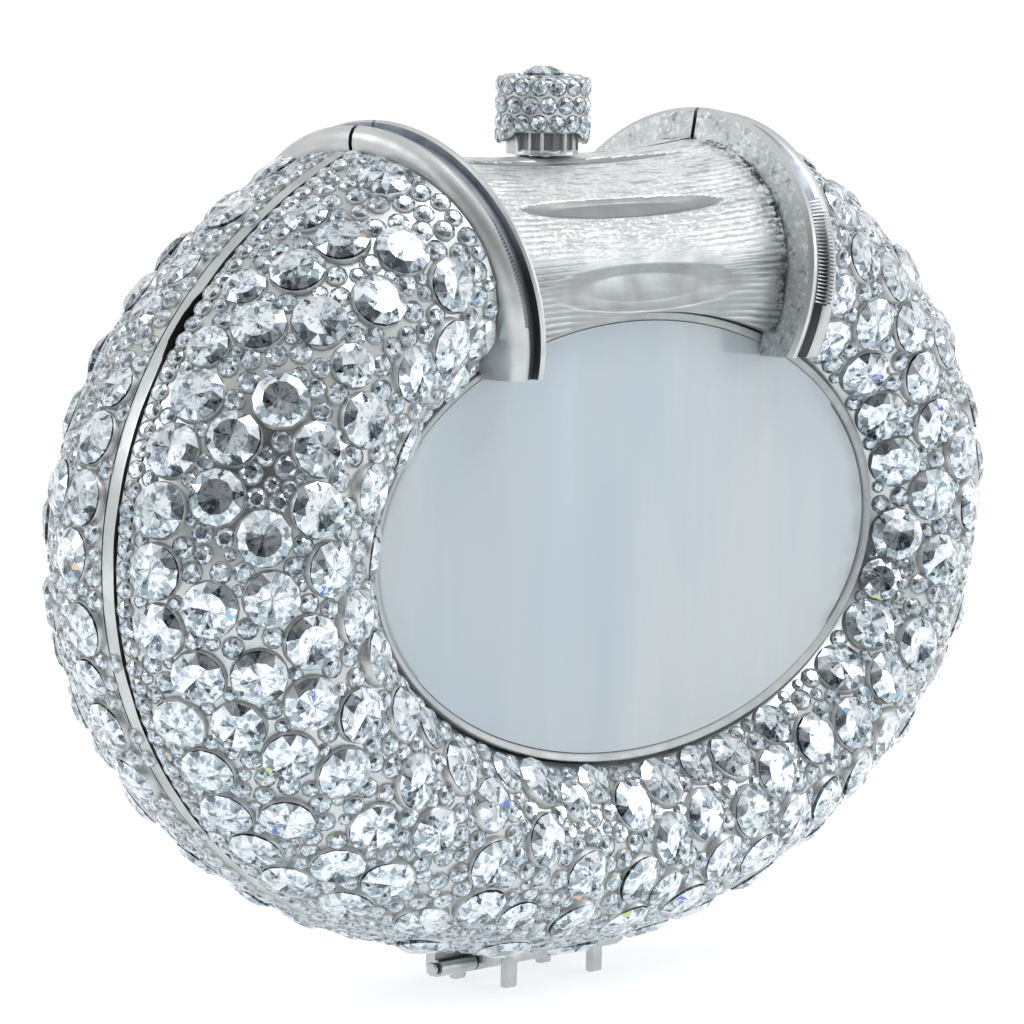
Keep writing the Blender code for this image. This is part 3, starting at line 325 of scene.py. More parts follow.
def tidy_normals(shape):
    bmesh.ops.remove_doubles(shape, verts=shape.verts, dist=1e-6)
    bmesh.ops.recalc_face_normals(shape, faces=shape.faces)


def mirror_half(shape, hand):
    """Leave a front shape alone, or turn it into its rear twin."""
    if hand > 0.0:
        for vertex in shape.verts:
            vertex.co.y = -vertex.co.y
        bmesh.ops.reverse_faces(shape, faces=shape.faces)
    return shape


def carve(shape, cutter):
    """The bmesh after an exact Boolean cut by another bmesh."""
    things = []
    for part in (shape, cutter):
        bmesh.ops.recalc_face_normals(part, faces=part.faces)
        things.append(add_object("carving", mesh_of("carving", part)))
    step = things[0].modifiers.new("cut", "BOOLEAN")
    step.operation = "DIFFERENCE"
    step.solver = "EXACT"
    step.object = things[1]
    bpy.context.view_layer.update()
    carved = things[0].evaluated_get(bpy.context.evaluated_depsgraph_get())
    made = bmesh.new()
    made.from_mesh(carved.to_mesh())
    carved.to_mesh_clear()
    for thing in things:
        mesh = thing.data
        bpy.data.objects.remove(thing)
        bpy.data.meshes.remove(mesh)
    return made


def spun(points, closed, axis, steps, angle=FULL_TURN):
    """Surface of a line of points turned about an axis through the origin."""
    shape = bmesh.new()
    verts = [shape.verts.new(point) for point in points]
    count = len(verts) if closed else len(verts) - 1
    edges = [shape.edges.new((verts[i], verts[(i + 1) % len(verts)])) for i in range(count)]
    bmesh.ops.spin(
        shape, geom=verts + edges, cent=(0.0, 0.0, 0.0), axis=axis, angle=angle, steps=steps,
        use_merge=angle == FULL_TURN,
    )
    return shape


def everything(shape):
    return shape.verts[:] + shape.edges[:] + shape.faces[:]


def fill_ends(shape):
    """Close the open ends of a shape, and give back the new faces."""
    ends = [edge for edge in shape.edges if edge.is_boundary]
    return bmesh.ops.holes_fill(shape, edges=ends, sides=0)["faces"]


def rounded(points, radius, segments=2):
    """Corners of a closed (out, depth) outline, each cut by a short arc."""
    made = []
    for i, here in enumerate(points):
        before = Vector(points[i - 1])
        after = Vector(points[(i + 1) % len(points)])
        corner = Vector(here)
        near = (before - corner).length
        far = (after - corner).length
        reach = min(radius, near * 0.45, far * 0.45)
        start = corner + (before - corner).normalized() * reach
        end = corner + (after - corner).normalized() * reach
        for step in range(segments + 1):
            share = step / segments
            made.append(start.lerp(corner, share).lerp(corner.lerp(end, share), share))
    return made


# Places on the ring

def ring_place(turn, along, depth):
    """World point at one turn round the ring, one share from the panel's edge to the seam, and one depth."""
    edge = Vector((EDGE_HALF_WIDTH * math.cos(turn), 0.0, EDGE_HALF_HEIGHT * math.sin(turn) - PANEL_DROP))
    seam = Vector((HALF_WIDTH * math.cos(turn), 0.0, HALF_HEIGHT * math.sin(turn)))
    spot = edge.lerp(seam, along)
    return Vector((spot.x, -depth, CENTRE + spot.z))


def bed_profile(inner_steps, outer_steps, last_angle):
    """(along, depth) points of the bed, from the panel's edge over the crest towards the seam."""
    points = []
    for i in range(inner_steps):
        angle = EDGE_ANGLE + (math.pi / 2 - EDGE_ANGLE) * i / inner_steps
        along = CREST_SHARE - CREST_SHARE / math.cos(EDGE_ANGLE) * math.cos(angle)
        points.append((along, BED_DEPTH * math.sin(angle)))
    for i in range(outer_steps + 1):
        angle = math.pi / 2 + (last_angle - math.pi / 2) * i / outer_steps
        points.append((CREST_SHARE + (1.0 - CREST_SHARE) * math.cos(angle), BED_DEPTH * math.sin(angle)))
    return points


def spun_ring(profile, closed, steps):
    """Spin (along, depth) points round Y at unit size, then move the vertices onto the oval."""
    shape = spun([(1.0 + along, -depth, 0.0) for along, depth in profile], closed, (0.0, 1.0, 0.0), steps)
    for vertex in shape.verts:
        turn = math.atan2(vertex.co.z, vertex.co.x)
        along = math.hypot(vertex.co.x, vertex.co.z) - 1.0
        vertex.co = ring_place(turn, along, -vertex.co.y)
    return shape


def flange_plane(side, along):
    """Point on a plane parallel to a flange, and the direction away from the spool."""
    away = Vector((side * math.cos(FLANGE_TILT), 0.0, -math.sin(FLANGE_TILT)))
    return Vector((side * FLANGE_FACE, 0.0, FLANGE_AXIS)) + away * along, away


def flange_gap(point, along):
    """How far a point lies outside the planes at one distance along the flanges, negative between them."""
    side = 1.0 if point.x >= 0.0 else -1.0
    spot, away = flange_plane(side, along)
    return (point - spot).dot(away)


def cut_bridge(shape, room):
    """Take away the part of a ring that the spool bridges."""
    for side in (-1.0, 1.0):
        spot, away = flange_plane(side, FLANGE_THICKNESS + room)
        bmesh.ops.bisect_plane(shape, geom=everything(shape), plane_co=spot, plane_no=away)
    bridged = []
    for face in shape.faces:
        middle = face.calc_center_median()
        if middle.z > CENTRE and flange_gap(middle, FLANGE_THICKNESS + room) < 0.0:
            bridged.append(face)
    bmesh.ops.delete(shape, geom=bridged, context="FACES")


def oval_gap(point, half_width, half_height, centre):
    """Distance of a point outside an oval about the middle, seen from the front."""
    x = point.x
    z = point.z - centre
    reach = math.hypot(x / half_width, z / half_height)
    slope = math.hypot(x / half_width ** 2, z / half_height ** 2) / max(reach, 1e-9)
    return (reach - 1.0) / max(slope, 1e-9)


# Crystals

# Ranges of a facet's brightness, painted as its reflection: pavilion, dark and plain crown facets, plain and dark
# wedges of the table
PAVILION_TONES = (0.0, 0.12)
DARK_CROWN_TONES = (0.10, 0.35)
CROWN_TONES = (0.44, 0.84)
TABLE_TONES = (0.58, 0.96)
DARK_TABLE_TONES = (0.12, 0.46)
TIP_SHIFT = 0.16
TIP_DROP = -0.03
WEDGE_SHIFT = 0.06

# Chance of a dark crown facet, and how a facet that faces up changes it and the brightness, as painted top light
# that makes facets facing up lighter and seldom dark
DARK_CROWN_CHANCE = 0.22
TOP_LIGHT_CHANCE = -0.12
TOP_LIGHT_TABLE = 0.10
TOP_LIGHT_CROWN = 0.16


def transformed_copy(shape, source, matrix):
    """Add a moved copy of a mesh to a bmesh."""
    work = source.copy()
    work.transform(matrix)
    shape.from_mesh(work)
    bpy.data.meshes.remove(work)


def facet_tone(middle, girdle, table_height, wedges, chance):
    """Brightness of one facet of a unit crystal, painted as its reflection, and painted lighter on its upper side as
    top light.
    """
    if middle.z < girdle * 0.9:
        return chance.uniform(*PAVILION_TONES)
    sector = int((math.atan2(middle.y, middle.x) / FULL_TURN + 0.5) * len(wedges)) % len(wedges)
    upper = middle.y / max(math.hypot(middle.x, middle.y), 1e-6)
    if middle.z > table_height * 0.9:
        return min(1.0, wedges[sector] + TOP_LIGHT_TABLE * upper + chance.uniform(-WEDGE_SHIFT, WEDGE_SHIFT))
    if chance.random() < DARK_CROWN_CHANCE + TOP_LIGHT_CHANCE * upper:
        return chance.uniform(*DARK_CROWN_TONES)
    return min(1.0, chance.uniform(*CROWN_TONES) + TOP_LIGHT_CROWN * upper)


def cut_crystal(name, levels, chance, dark_share):
    """Unit crystal: a faceted hull with its table cut into wedges, and a painted reflection brightness on every
    face.
    """
    shape = bmesh.new()
    for radius, height, count, shift in levels:
        matrix = Matrix.Translation((0.0, 0.0, height)) @ Matrix.Rotation(shift * math.pi / count, 4, "Z")
        bmesh.ops.create_circle(shape, cap_ends=False, radius=radius, segments=count, matrix=matrix)
    bmesh.ops.convex_hull(shape, input=shape.verts)
    bmesh.ops.dissolve_limit(shape, angle_limit=math.radians(1.0), verts=shape.verts, edges=shape.edges)
    bmesh.ops.recalc_face_normals(shape, faces=shape.faces)
    table = max(shape.faces, key=lambda face: face.calc_center_median().z)
    tip = bmesh.ops.poke(shape, faces=[table])["verts"][0]
    tip.co += Vector((chance.uniform(-TIP_SHIFT, TIP_SHIFT), chance.uniform(-TIP_SHIFT, TIP_SHIFT), TIP_DROP))
    count = levels[-1][2]
    wedges = [chance.uniform(*TABLE_TONES) for _ in range(count)]
    for i in chance.sample(range(count), max(1, round(count * dark_share))):
        wedges[i] = chance.uniform(*DARK_TABLE_TONES)
    local = shape.verts.layers.float_vector.new("cut_place")
    draw = chance.uniform(0.0, 50.0)
    for vertex in shape.verts:
        vertex[local] = (vertex.co.x, vertex.co.y, draw)
    # Brightness of each face, painted as its reflection
    tone = shape.faces.layers.float.new("tone")
    for face in shape.faces:
        face[tone] = facet_tone(face.calc_center_median(), levels[1][1], levels[-1][1], wedges, chance)
    return mesh_of(name, shape)


# Rings of a unit crystal from below: radius, height, corners, and turn in half steps
LARGE_LEVELS = ((0.90, -0.14, 12, 0.0), (1.0, 0.20, 12, 0.0), (0.64, 0.41, 12, 1.0))
SMALL_LEVELS = ((0.86, -0.20, 8, 0.0), (1.0, 0.24, 8, 0.0), (0.60, 0.54, 8, 1.0))


def crystal_cuts(name, levels, count, dark_share):
    chance = random.Random(paving().seed)
    return [cut_crystal(name + str(i), levels, chance, dark_share) for i in range(count)]


def cup_mesh(name, points, steps):
    """Unit ring of metal round a crystal, from a closed (radius, height) outline."""
    shape = spun([(radius, 0.0, height) for radius, height in points], True, (0.0, 0.0, 1.0), steps)
    tidy_normals(shape)
    return mesh_of(name, shape)


LARGE_CUP = ((0.92, -0.20), (1.03, -0.20), (1.02, 0.08), (0.985, 0.16), (0.94, 0.10))
SMALL_CUP = ((0.90, -0.30), (1.08, -0.30), (1.06, 0.22), (0.98, 0.31))


def stone_matrix(point, normal, radius, spin):
    """Place for a unit crystal: its table along the normal and its own up turned towards world up."""
    flat = UPWARD - normal * UPWARD.dot(normal)
    if flat.length < 1e-3:
        flat = Vector((1.0, 0.0, 0.0)) - normal * normal.x
    flat.normalize()
    across = flat.cross(normal)
    turn = Matrix((across, flat, normal)).transposed().to_4x4()
    return Matrix.Translation(point) @ turn @ Matrix.Rotation(spin, 4, "Z") @ Matrix.Scale(radius, 4)


class Bed:
    """The surface that one half's crystals stand on."""

    def __init__(self, word, hand):
        self.word = word
        self.hand = hand
        self.skin = mirror_half(spun_ring(bed_profile(8, 24, 0.0), False, BED_STEPS), hand)
        tidy_normals(self.skin)
        crest = max(self.skin.faces, key=lambda face: abs(face.calc_center_median().y))
        if crest.normal.y * hand < 0.0:
            bmesh.ops.reverse_faces(self.skin, faces=self.skin.faces)
        self.skin.normal_update()
        self.tree = BVHTree.FromBMesh(self.skin)
        self.large = [(self.snap(point)[0], radius) for point, radius in solid_stones(word)]
        self.small = []

    def snap(self, point):
        place, normal, _, _ = self.tree.find_nearest(point)
        return place, normal

    def room(self, point):
        """Least distance to the panel's edge, the flanges, the hinge and the feet."""
        edge = oval_gap(point, EDGE_HALF_WIDTH, EDGE_HALF_HEIGHT, CENTRE - PANEL_DROP)
        flange = flange_gap(point, FLANGE_THICKNESS + GAP) if point.z > CENTRE else 1.0
        if point.z > CENTRE - HALF_HEIGHT / 2:
            return min(edge, flange)
        hinge = abs(point.y) - HINGE_ROOM if abs(point.x) < HINGE_REACH else 1.0
        across = max(FOOT_LOW.x - FOOT_ROOM + abs(point.x), -abs(point.x) - FOOT_HIGH.x - FOOT_ROOM, 0.0)
        deep = max(abs(point.y) + FOOT_LOW.y - FOOT_ROOM, -FOOT_HIGH.y - FOOT_ROOM - abs(point.y), 0.0)
        return min(edge, flange, hinge, math.hypot(across, deep))

    def inside(self, point, radius):
        return self.room(point) > radius and abs(point.y) > radius + SEAM_DEPTH + paving().seam_room

    def somewhere(self, chance):
        """A point of the bed drawn by chance."""
        turn = chance.uniform(-math.pi, math.pi)
        if chance.random() < INNER_CHANCE:
            angle = EDGE_ANGLE + (math.pi / 2 - EDGE_ANGLE) * chance.random()
            along = CREST_SHARE - CREST_SHARE / math.cos(EDGE_ANGLE) * math.cos(angle)
        else:
            angle = math.pi / 2 * chance.random()
            along = CREST_SHARE + (1.0 - CREST_SHARE) * math.cos(angle)
        return self.snap(ring_place(turn, along, BED_DEPTH * math.sin(angle) * -self.hand))[0]


def camera_axes():
    """Camera place, right, up and forward."""
    stage = studio()
    back = Vector((
        -math.sin(stage.azimuth) * math.cos(stage.elevation),
        -math.cos(stage.azimuth) * math.cos(stage.elevation),
        math.sin(stage.elevation),
    ))
    place = RING_MIDDLE + back * stage.distance
    forward = (RING_MIDDLE + Vector(stage.aim) - place).normalized()
    right = forward.cross(UPWARD).normalized()
    up = right.cross(forward)
    turned_right = right * math.cos(stage.roll) + up * math.sin(stage.roll)
    turned_up = up * math.cos(stage.roll) - right * math.sin(stage.roll)
    return place, turned_right, turned_up, forward


def pixel_ray(column, row):
    place, right, up, forward = camera_axes()
    focal = studio().focal_pixels
    middle = FRAME_PIXELS / 2
    return place, (forward + right * (column - middle) / focal + up * (middle - row) / focal).normalized()


def solid_stones(word):
    """(middle, radius) of the crystals that stand on one bed's solid."""
    settings = paving()
    shape = refined(word + "_crystal_bed")
    found = []
    for face in shape.faces:
        if len(face.verts) != SOLID_SIDES:
            continue
        middle = face.calc_center_median()
        reaches = [(vertex.co - middle).length / SOLID_TABLE_SHARE for vertex in face.verts]
        for radius in (settings.large_radius, settings.middle_radius):
            if max(abs(reach - radius) for reach in reaches) < radius * SIZE_SLACK:
                found.append((middle - face.normal * SOLID_HEIGHT, radius))
    shape.free()
    return found


# Distances against the sum of two radii: least ones, and those at which a new crystal is tried. Then the
# tries round a crystal and along the seam, the room and the radius at the seam as shares of a radius, the
# share of places beside the rear seam that are used, and the ranges of sizes
SMALL_SPACING = 1.03
LARGE_SPACING = 0.95
SMALL_STEP = 1.035
LARGE_STEP = 0.955
SMALL_TRIES = 26
LARGE_TRIES = 64
SEAM_TRIES = 4000
SEAM_SPACE = 1.02
SEAM_SIZE = 0.85
PALE_SHARE = 0.004
GROWN_SIZES = (0.93, 1.03)
DROPPED_SIZES = (0.95, 1.05)

# Widths of the cells against the small and the large radius, a share of the radius for a first quick test,
# and the chance that a drawn point lies inside the crest
CELL_SHARE = 2.4
WIDE_CELL_SHARE = 2.8
QUICK_SHARE = 0.8
INNER_CHANCE = 0.3


class Packing:
    """Small crystals between the large ones of a bed, kept apart by a grid of cells."""

    def __init__(self, bed, chance):
        self.bed = bed
        self.chance = chance
        self.cell = paving().small_radius * CELL_SHARE
        self.wide_cell = paving().large_radius * WIDE_CELL_SHARE
        self.cells = {}
        self.wide = {}
        for stone in bed.large:
            self.wide.setdefault(self.key(stone[0], self.wide_cell), []).append(stone)

    def key(self, point, size):
        return (int(point.x // size), int(point.y // size), int(point.z // size))

    def near(self, table, point, size):
        x, y, z = self.key(point, size)
        for i in (x - 1, x, x + 1):
            for j in (y - 1, y, y + 1):
                for k in (z - 1, z, z + 1):
                    yield from table.get((i, j, k), ())

    def clear(self, point, radius):
        """Whether a crystal keeps off the others; it may tuck a little under a large one's girdle."""
        for other, reach in self.near(self.cells, point, self.cell):
            if (other - point).length < (radius + reach) * SMALL_SPACING:
                return False
        for other, reach in self.near(self.wide, point, self.wide_cell):
            if (other - point).length < (radius + reach) * LARGE_SPACING:
                return False
        return True

    def fits(self, point, radius):
        """Whether a crystal has room; few stand beside the rear seam, where the plate is bare."""
        if not self.clear(point, radius) or not self.bed.inside(point, radius * SEAM_SPACE):
            return False
        pale = self.bed.hand > 0.0 and abs(point.y) < RIM_TOP + radius
        return not pale or self.chance.random() < PALE_SHARE

    def add(self, point, radius):
        self.cells.setdefault(self.key(point, self.cell), []).append((point, radius))
        self.bed.small.append((point, radius))

    def beside(self, point, direction, far):
        """Place on the bed at a straight distance from a point."""
        spot = point + direction * far
        for _ in range(2):
            spot = self.bed.snap(spot)[0]
            spot = point + (spot - point).normalized() * far
        return self.bed.snap(spot)[0]

    def line_seam(self, size):
        """Set a row of crystals along the seam."""
        for i in range(SEAM_TRIES):
            depth = (size * SEAM_SPACE + SEAM_DEPTH + paving().seam_room) * self.chance.uniform(1.0, 1.2)
            spot = self.bed.snap(ring_place(FULL_TURN * i / SEAM_TRIES, 1.0, -self.bed.hand * depth))[0]
            if self.fits(spot, size):
                self.add(spot, size)

    def grow(self, size):
        """Set crystals of one size against all others, then against each other, as far as they fit."""
        queue = deque((point, radius, LARGE_STEP, LARGE_TRIES) for point, radius in self.bed.large)
        queue.extend((point, radius, SMALL_STEP, SMALL_TRIES) for point, radius in self.bed.small)
        while queue:
            point, reach, share, tries = queue.popleft()
            normal = self.bed.snap(point)[1]
            across = normal.orthogonal().normalized()
            along = normal.cross(across)
            start = self.chance.uniform(0.0, FULL_TURN)
            for i in range(tries):
                radius = size * self.chance.uniform(*GROWN_SIZES)
                angle = start + FULL_TURN * i / tries
                direction = across * math.cos(angle) + along * math.sin(angle)
                far = (reach + radius) * share + 0.00001
                if not self.clear(point + direction * far, radius * QUICK_SHARE):
                    continue
                spot = self.beside(point, direction, far)
                if self.fits(spot, radius):
                    self.add(spot, radius)
                    queue.append((spot, radius, SMALL_STEP, SMALL_TRIES))

    def drop(self, size, tries):
        """Set crystals of one size wherever a chance point has room."""
        for _ in range(tries):
            spot = self.bed.somewhere(self.chance)
            radius = size * self.chance.uniform(*DROPPED_SIZES)
            if self.fits(spot, radius):
                self.add(spot, radius)


STONE_TILT = 0.03


def merged_stones(bed, stones, cuts, chance, spin_range):
    """One mesh of unit shapes set on a bed, each tilted a little by chance."""
    shape = bmesh.new()
    for point, radius in stones:
        normal = bed.snap(point)[1]
        tilt = Vector([chance.gauss(0, STONE_TILT) for _ in range(3)])
        spin = chance.uniform(-spin_range, spin_range)
        matrix = stone_matrix(point, (normal + tilt).normalized(), radius, spin)
        transformed_copy(shape, chance.choice(cuts), matrix)
    return shape


def add_sparks(piece, chance, share, glints=()):
    """Mark a few faces with a spark value, which the material turns into a coloured glint."""
    mesh = piece.data
    layer = mesh.attributes.new("spark", "FLOAT", "FACE")
    values = [chance.choice(SPARKS) if chance.random() < share else 0.0 for _ in mesh.polygons]
    if glints:
        tree = BVHTree.FromObject(piece, bpy.context.evaluated_depsgraph_get())
        for column, row, value in glints:
            place, ray = pixel_ray(column, row)
            _, _, index, _ = tree.ray_cast(place, ray)
            if index is not None:
                values[index] = value
    layer.data.foreach_set("value", values)


# Node helpers and materials

def srgb(red, green, blue):
    """Linear colour of 0 to 255 display values."""
    made = []
    for value in (red, green, blue):
        value = value / 255
        made.append(value / 12.92 if value <= 0.04045 else ((value + 0.055) / 1.055) ** 2.4)
    return (*made, 1.0)


def shade(colour, factor):
    """Opaque colour at a share of its brightness."""
    return (*(value * factor for value in colour), 1.0)


def feed(socket, value):
    """Set a socket to a value, or link another socket to it."""
    if isinstance(value, bpy.types.NodeSocket):
        socket.id_data.links.new(value, socket)
    else:
        socket.default_value = value


def add_node(tree, kind, inputs=(), **values):
    """New shader node with its properties set and its inputs fed."""
    made = tree.nodes.new("ShaderNode" + kind)
    for key, value in values.items():
        setattr(made, key, value)
    for key, value in dict(inputs).items():
        feed(made.inputs[key], value)
    return made


def ramp(tree, factor, stops, interpolation="LINEAR"):
    made = add_node(tree, "ValToRGB", {"Fac": factor})
    made.color_ramp.interpolation = interpolation
    points = made.color_ramp.elements
    while len(points) > 1:
        points.remove(points[-1])
    points[0].position, points[0].color = stops[0]
    for place, colour in stops[1:]:
        points.new(place).color = colour
    return made.outputs["Color"]


def noise(tree, place, scale, detail=3.0, roughness=0.5):
    inputs = {"Vector": place, "Scale": scale, "Detail": detail, "Roughness": roughness}
    return add_node(tree, "TexNoise", inputs).outputs["Fac"]


def stretched(tree, place, scale):
    return add_node(tree, "Mapping", {"Vector": place, "Scale": scale}).outputs["Vector"]


def spread(tree, value, low, high, source=(0.0, 1.0)):
    inputs = {"Value": value, "From Min": source[0], "From Max": source[1], "To Min": low, "To Max": high}
    return add_node(tree, "MapRange", inputs).outputs["Result"]


def mix_colours(tree, factor, first, second):
    return add_node(tree, "Mix", {0: factor, 6: first, 7: second}, data_type="RGBA").outputs[2]


def calculate(tree, operation, *values):
    return add_node(tree, "Math", dict(enumerate(values)), operation=operation).outputs["Value"]


def bump(tree, height, distance, strength):
    inputs = {"Height": height, "Distance": distance, "Strength": strength}
    return add_node(tree, "Bump", inputs).outputs["Normal"]


def object_place(tree):
    return tree.nodes.new("ShaderNodeTexCoord").outputs["Object"]


def height_of(tree, place):
    return add_node(tree, "SeparateXYZ", {"Vector": place}).outputs["Z"]


def new_group(name, inputs, outputs):
    """Node group with number inputs, or colour ones where the default is a colour, and the named outputs."""
    group = bpy.data.node_groups.new(name, "ShaderNodeTree")
    for label, value in inputs:
        kind = "NodeSocketColor" if isinstance(value, tuple) else "NodeSocketFloat"
        group.interface.new_socket(label, in_out="INPUT", socket_type=kind).default_value = value
    for label in outputs:
        kind = "NodeSocketColor" if label == "Colour" else "NodeSocketFloat"
        group.interface.new_socket(label, in_out="OUTPUT", socket_type=kind)
    entry = group.nodes.new("NodeGroupInput").outputs
    leave = group.nodes.new("NodeGroupOutput").inputs
    return group, entry, leave


def group_wear():
    """Handling marks: soft blotches and a fine grain, as a colour and a roughness."""
    made = bpy.data.node_groups.get("handling marks")
    if made:
        return made
    inputs = (
        ("Bright", (0.9, 0.9, 0.9, 1.0)), ("Dull", (0.7, 0.7, 0.7, 1.0)),
        ("Blotch Scale", 120.0), ("Smooth", 0.1), ("Rough", 0.25),
    )
    made, entry, leave = new_group("handling marks", inputs, ("Colour", "Roughness"))
    place = object_place(made)
    mask = spread(made, noise(made, place, entry["Blotch Scale"], 4.0, 0.6), 0.0, 1.0, (0.35, 0.68))
    both = calculate(made, "MULTIPLY_ADD", noise(made, place, 2600.0, 2.0), 0.25, mask)
    feed(leave["Colour"], mix_colours(made, mask, entry["Bright"], entry["Dull"]))
    feed(leave["Roughness"], spread(made, both, entry["Smooth"], entry["Rough"]))
    return made


# Colours of a crystal's painted reflections from dark to light, and of its painted glints by their spark value
TONE_STOPS = (
    (0.0, srgb(30, 38, 42)), (0.12, srgb(62, 74, 81)), (0.28, srgb(108, 122, 131)), (0.50, srgb(156, 170, 180)),
    (0.72, srgb(202, 214, 222)), (0.92, srgb(240, 247, 252)),
)
HUE_STOPS = (
    (0.0, srgb(235, 235, 240)), (0.15, srgb(74, 100, 205)), (0.30, srgb(120, 185, 225)),
    (0.50, srgb(240, 190, 150)), (0.70, srgb(238, 205, 215)), (0.85, srgb(205, 222, 150)),
)
MEAN_TONE = 0.6
LEAST_SPARK = 0.1
SPLINTER_SHARE = 0.45
GLINT_STRENGTH = 0.8


def group_tones():
    """Painted reflections of a crystal: the facet's value as a colour broken up into shards with painted highlights
    on their borders, and a few painted coloured glints.
    """
    made = bpy.data.node_groups.get("crystal tones")
    if made:
        return made
    inputs = (
        ("Shards Round", 2.2), ("Shards Out", 2.6), ("Shard Share", 0.4), ("Contrast", 1.0), ("Level", 0.6),
    )
    made, entry, leave = new_group("crystal tones", inputs, ("Colour", "Shard"))
    tone = add_node(made, "Attribute", attribute_name="tone").outputs["Fac"]
    spark = add_node(made, "Attribute", attribute_name="spark").outputs["Fac"]
    local = add_node(made, "Attribute", attribute_name="cut_place").outputs["Vector"]
    parts = add_node(made, "SeparateXYZ", {"Vector": local}).outputs
    turn = calculate(made, "ARCTAN2", parts["Y"], parts["X"])
    squares = [calculate(made, "MULTIPLY", parts[axis], parts[axis]) for axis in ("X", "Y")]
    out = calculate(made, "SQRT", calculate(made, "ADD", *squares))
    polar = add_node(made, "CombineXYZ", {
        "X": calculate(made, "MULTIPLY", turn, entry["Shards Round"]),
        "Y": calculate(made, "MULTIPLY", out, entry["Shards Out"]), "Z": parts["Z"],
    }).outputs["Vector"]
    cells = {"Scale": 1.0, "Vector": polar}
    shards = add_node(made, "TexVoronoi", cells, distance="MANHATTAN").outputs["Color"]
    borders = add_node(made, "TexVoronoi", cells, feature="DISTANCE_TO_EDGE").outputs["Distance"]
    draws = add_node(made, "SeparateColor", {"Color": shards}).outputs
    shifted = calculate(made, "MULTIPLY", calculate(made, "SUBTRACT", draws["Red"], 0.5), entry["Shard Share"])
    # Bright borders of the shards: painted highlights
    line = spread(made, borders, 0.22, 0.0, (0.0, 0.06))
    off_mean = calculate(made, "SUBTRACT", tone, MEAN_TONE)
    level = calculate(made, "MULTIPLY_ADD", off_mean, entry["Contrast"], entry["Level"])
    broken = calculate(made, "ADD", calculate(made, "ADD", level, shifted), line)
    lit = calculate(made, "GREATER_THAN", spark, LEAST_SPARK)
    splinter = calculate(made, "GREATER_THAN", draws["Blue"], SPLINTER_SHARE)
    glint = calculate(made, "MULTIPLY", calculate(made, "MULTIPLY", lit, splinter), GLINT_STRENGTH)
    tones = ramp(made, broken, TONE_STOPS)
    feed(leave["Colour"], mix_colours(made, glint, tones, ramp(made, spark, HUE_STOPS, "CONSTANT")))
    feed(leave["Shard"], draws["Green"])
    return made


def start_material(name, **values):
    """New material, with its tree, its shader's inputs and the place on the object."""
    made = bpy.data.materials.new(name)
    made.use_nodes = True
    shader = made.node_tree.nodes["Principled BSDF"].inputs
    for key, value in values.items():
        shader[key.replace("_", " ")].default_value = value
    return made, made.node_tree, shader, object_place(made.node_tree)


def use_wear(tree, shader, bright, dull, scale, smooth, rough):
    """Feed the shader's colour and roughness from the handling marks, and give back the colour."""
    inputs = {"Bright": bright, "Dull": dull, "Blotch Scale": scale, "Smooth": smooth, "Rough": rough}
    wear = tree.nodes.new("ShaderNodeGroup")
    wear.node_tree = group_wear()
    for key, value in inputs.items():
        feed(wear.inputs[key], value)
    feed(shader["Base Color"], wear.outputs["Colour"])
    feed(shader["Roughness"], wear.outputs["Roughness"])
    return wear.outputs["Colour"]


class Plate(NamedTuple):
    """A plain plated surface: its colour, its handling marks and its relief."""

    label: str
    colour: str
    share: float
    metallic: float
    bright: float
    dull: float
    blotches: float
    smooth: float
    rough: float
    grain: float = 0.0
    height: float = 0.0
    strength: float = 0.0
    detail: float = 3.0


PLATES = {
    "bed": Plate("setting plate", "plate_colour", 1.0, 1.0, 1.0, 0.82, 260.0, 0.26, 0.40, 700.0, 0.00005, 0.5),
    "polished": Plate(
        "polished plate", "polished_colour", 1.0, 1.0, 1.0, 0.84, 140.0, 0.14, 0.30, 380.0, 0.00008, 0.6
    ),
    "satin_plate": Plate(
        "satin plate", "polished_colour", 0.92, 0.68, 1.0, 0.84, 190.0, 0.30, 0.44, 420.0, 0.00010, 0.6
    ),
    "bezel": Plate("dull pale plate", "spool_colour", 0.78, 0.6, 1.0, 0.86, 200.0, 0.45, 0.58),
    # Dark plate painted as the shade between the halves, on the flanges' faces at the parting plane
    "slate": Plate(
        "darkened plate", "slate_colour", 1.0, 1.0, 1.3, 0.7, 320.0, 0.25, 0.45, 900.0, 0.00005, 0.5, 2.0
    ),
    # Nearly black plate painted as the shadow in the slot of the parting line
    "slot_shadow": Plate("tarnished slot", "slate_colour", 0.12, 0.5, 1.4, 0.6, 500.0, 0.5, 0.7),
    "cast": Plate("cast latch metal", "plate_colour", 0.85, 1.0, 1.0, 0.75, 420.0, 0.28, 0.50, 1500.0, 0.00008, 0.6),
}


def plate_material(plate):
    made, tree, shader, place = start_material(plate.label, Metallic=plate.metallic)
    colour = getattr(metal(), plate.colour)
    bright = shade(colour, plate.share * plate.bright)
    dull = shade(colour, plate.share * plate.dull)
    use_wear(tree, shader, bright, dull, plate.blotches, plate.smooth, plate.rough)
    if plate.grain:
        relief = noise(tree, place, plate.grain, plate.detail)
        feed(shader["Normal"], bump(tree, relief, plate.height, plate.strength))
    return made


PALE_FLECK = srgb(250, 252, 253)


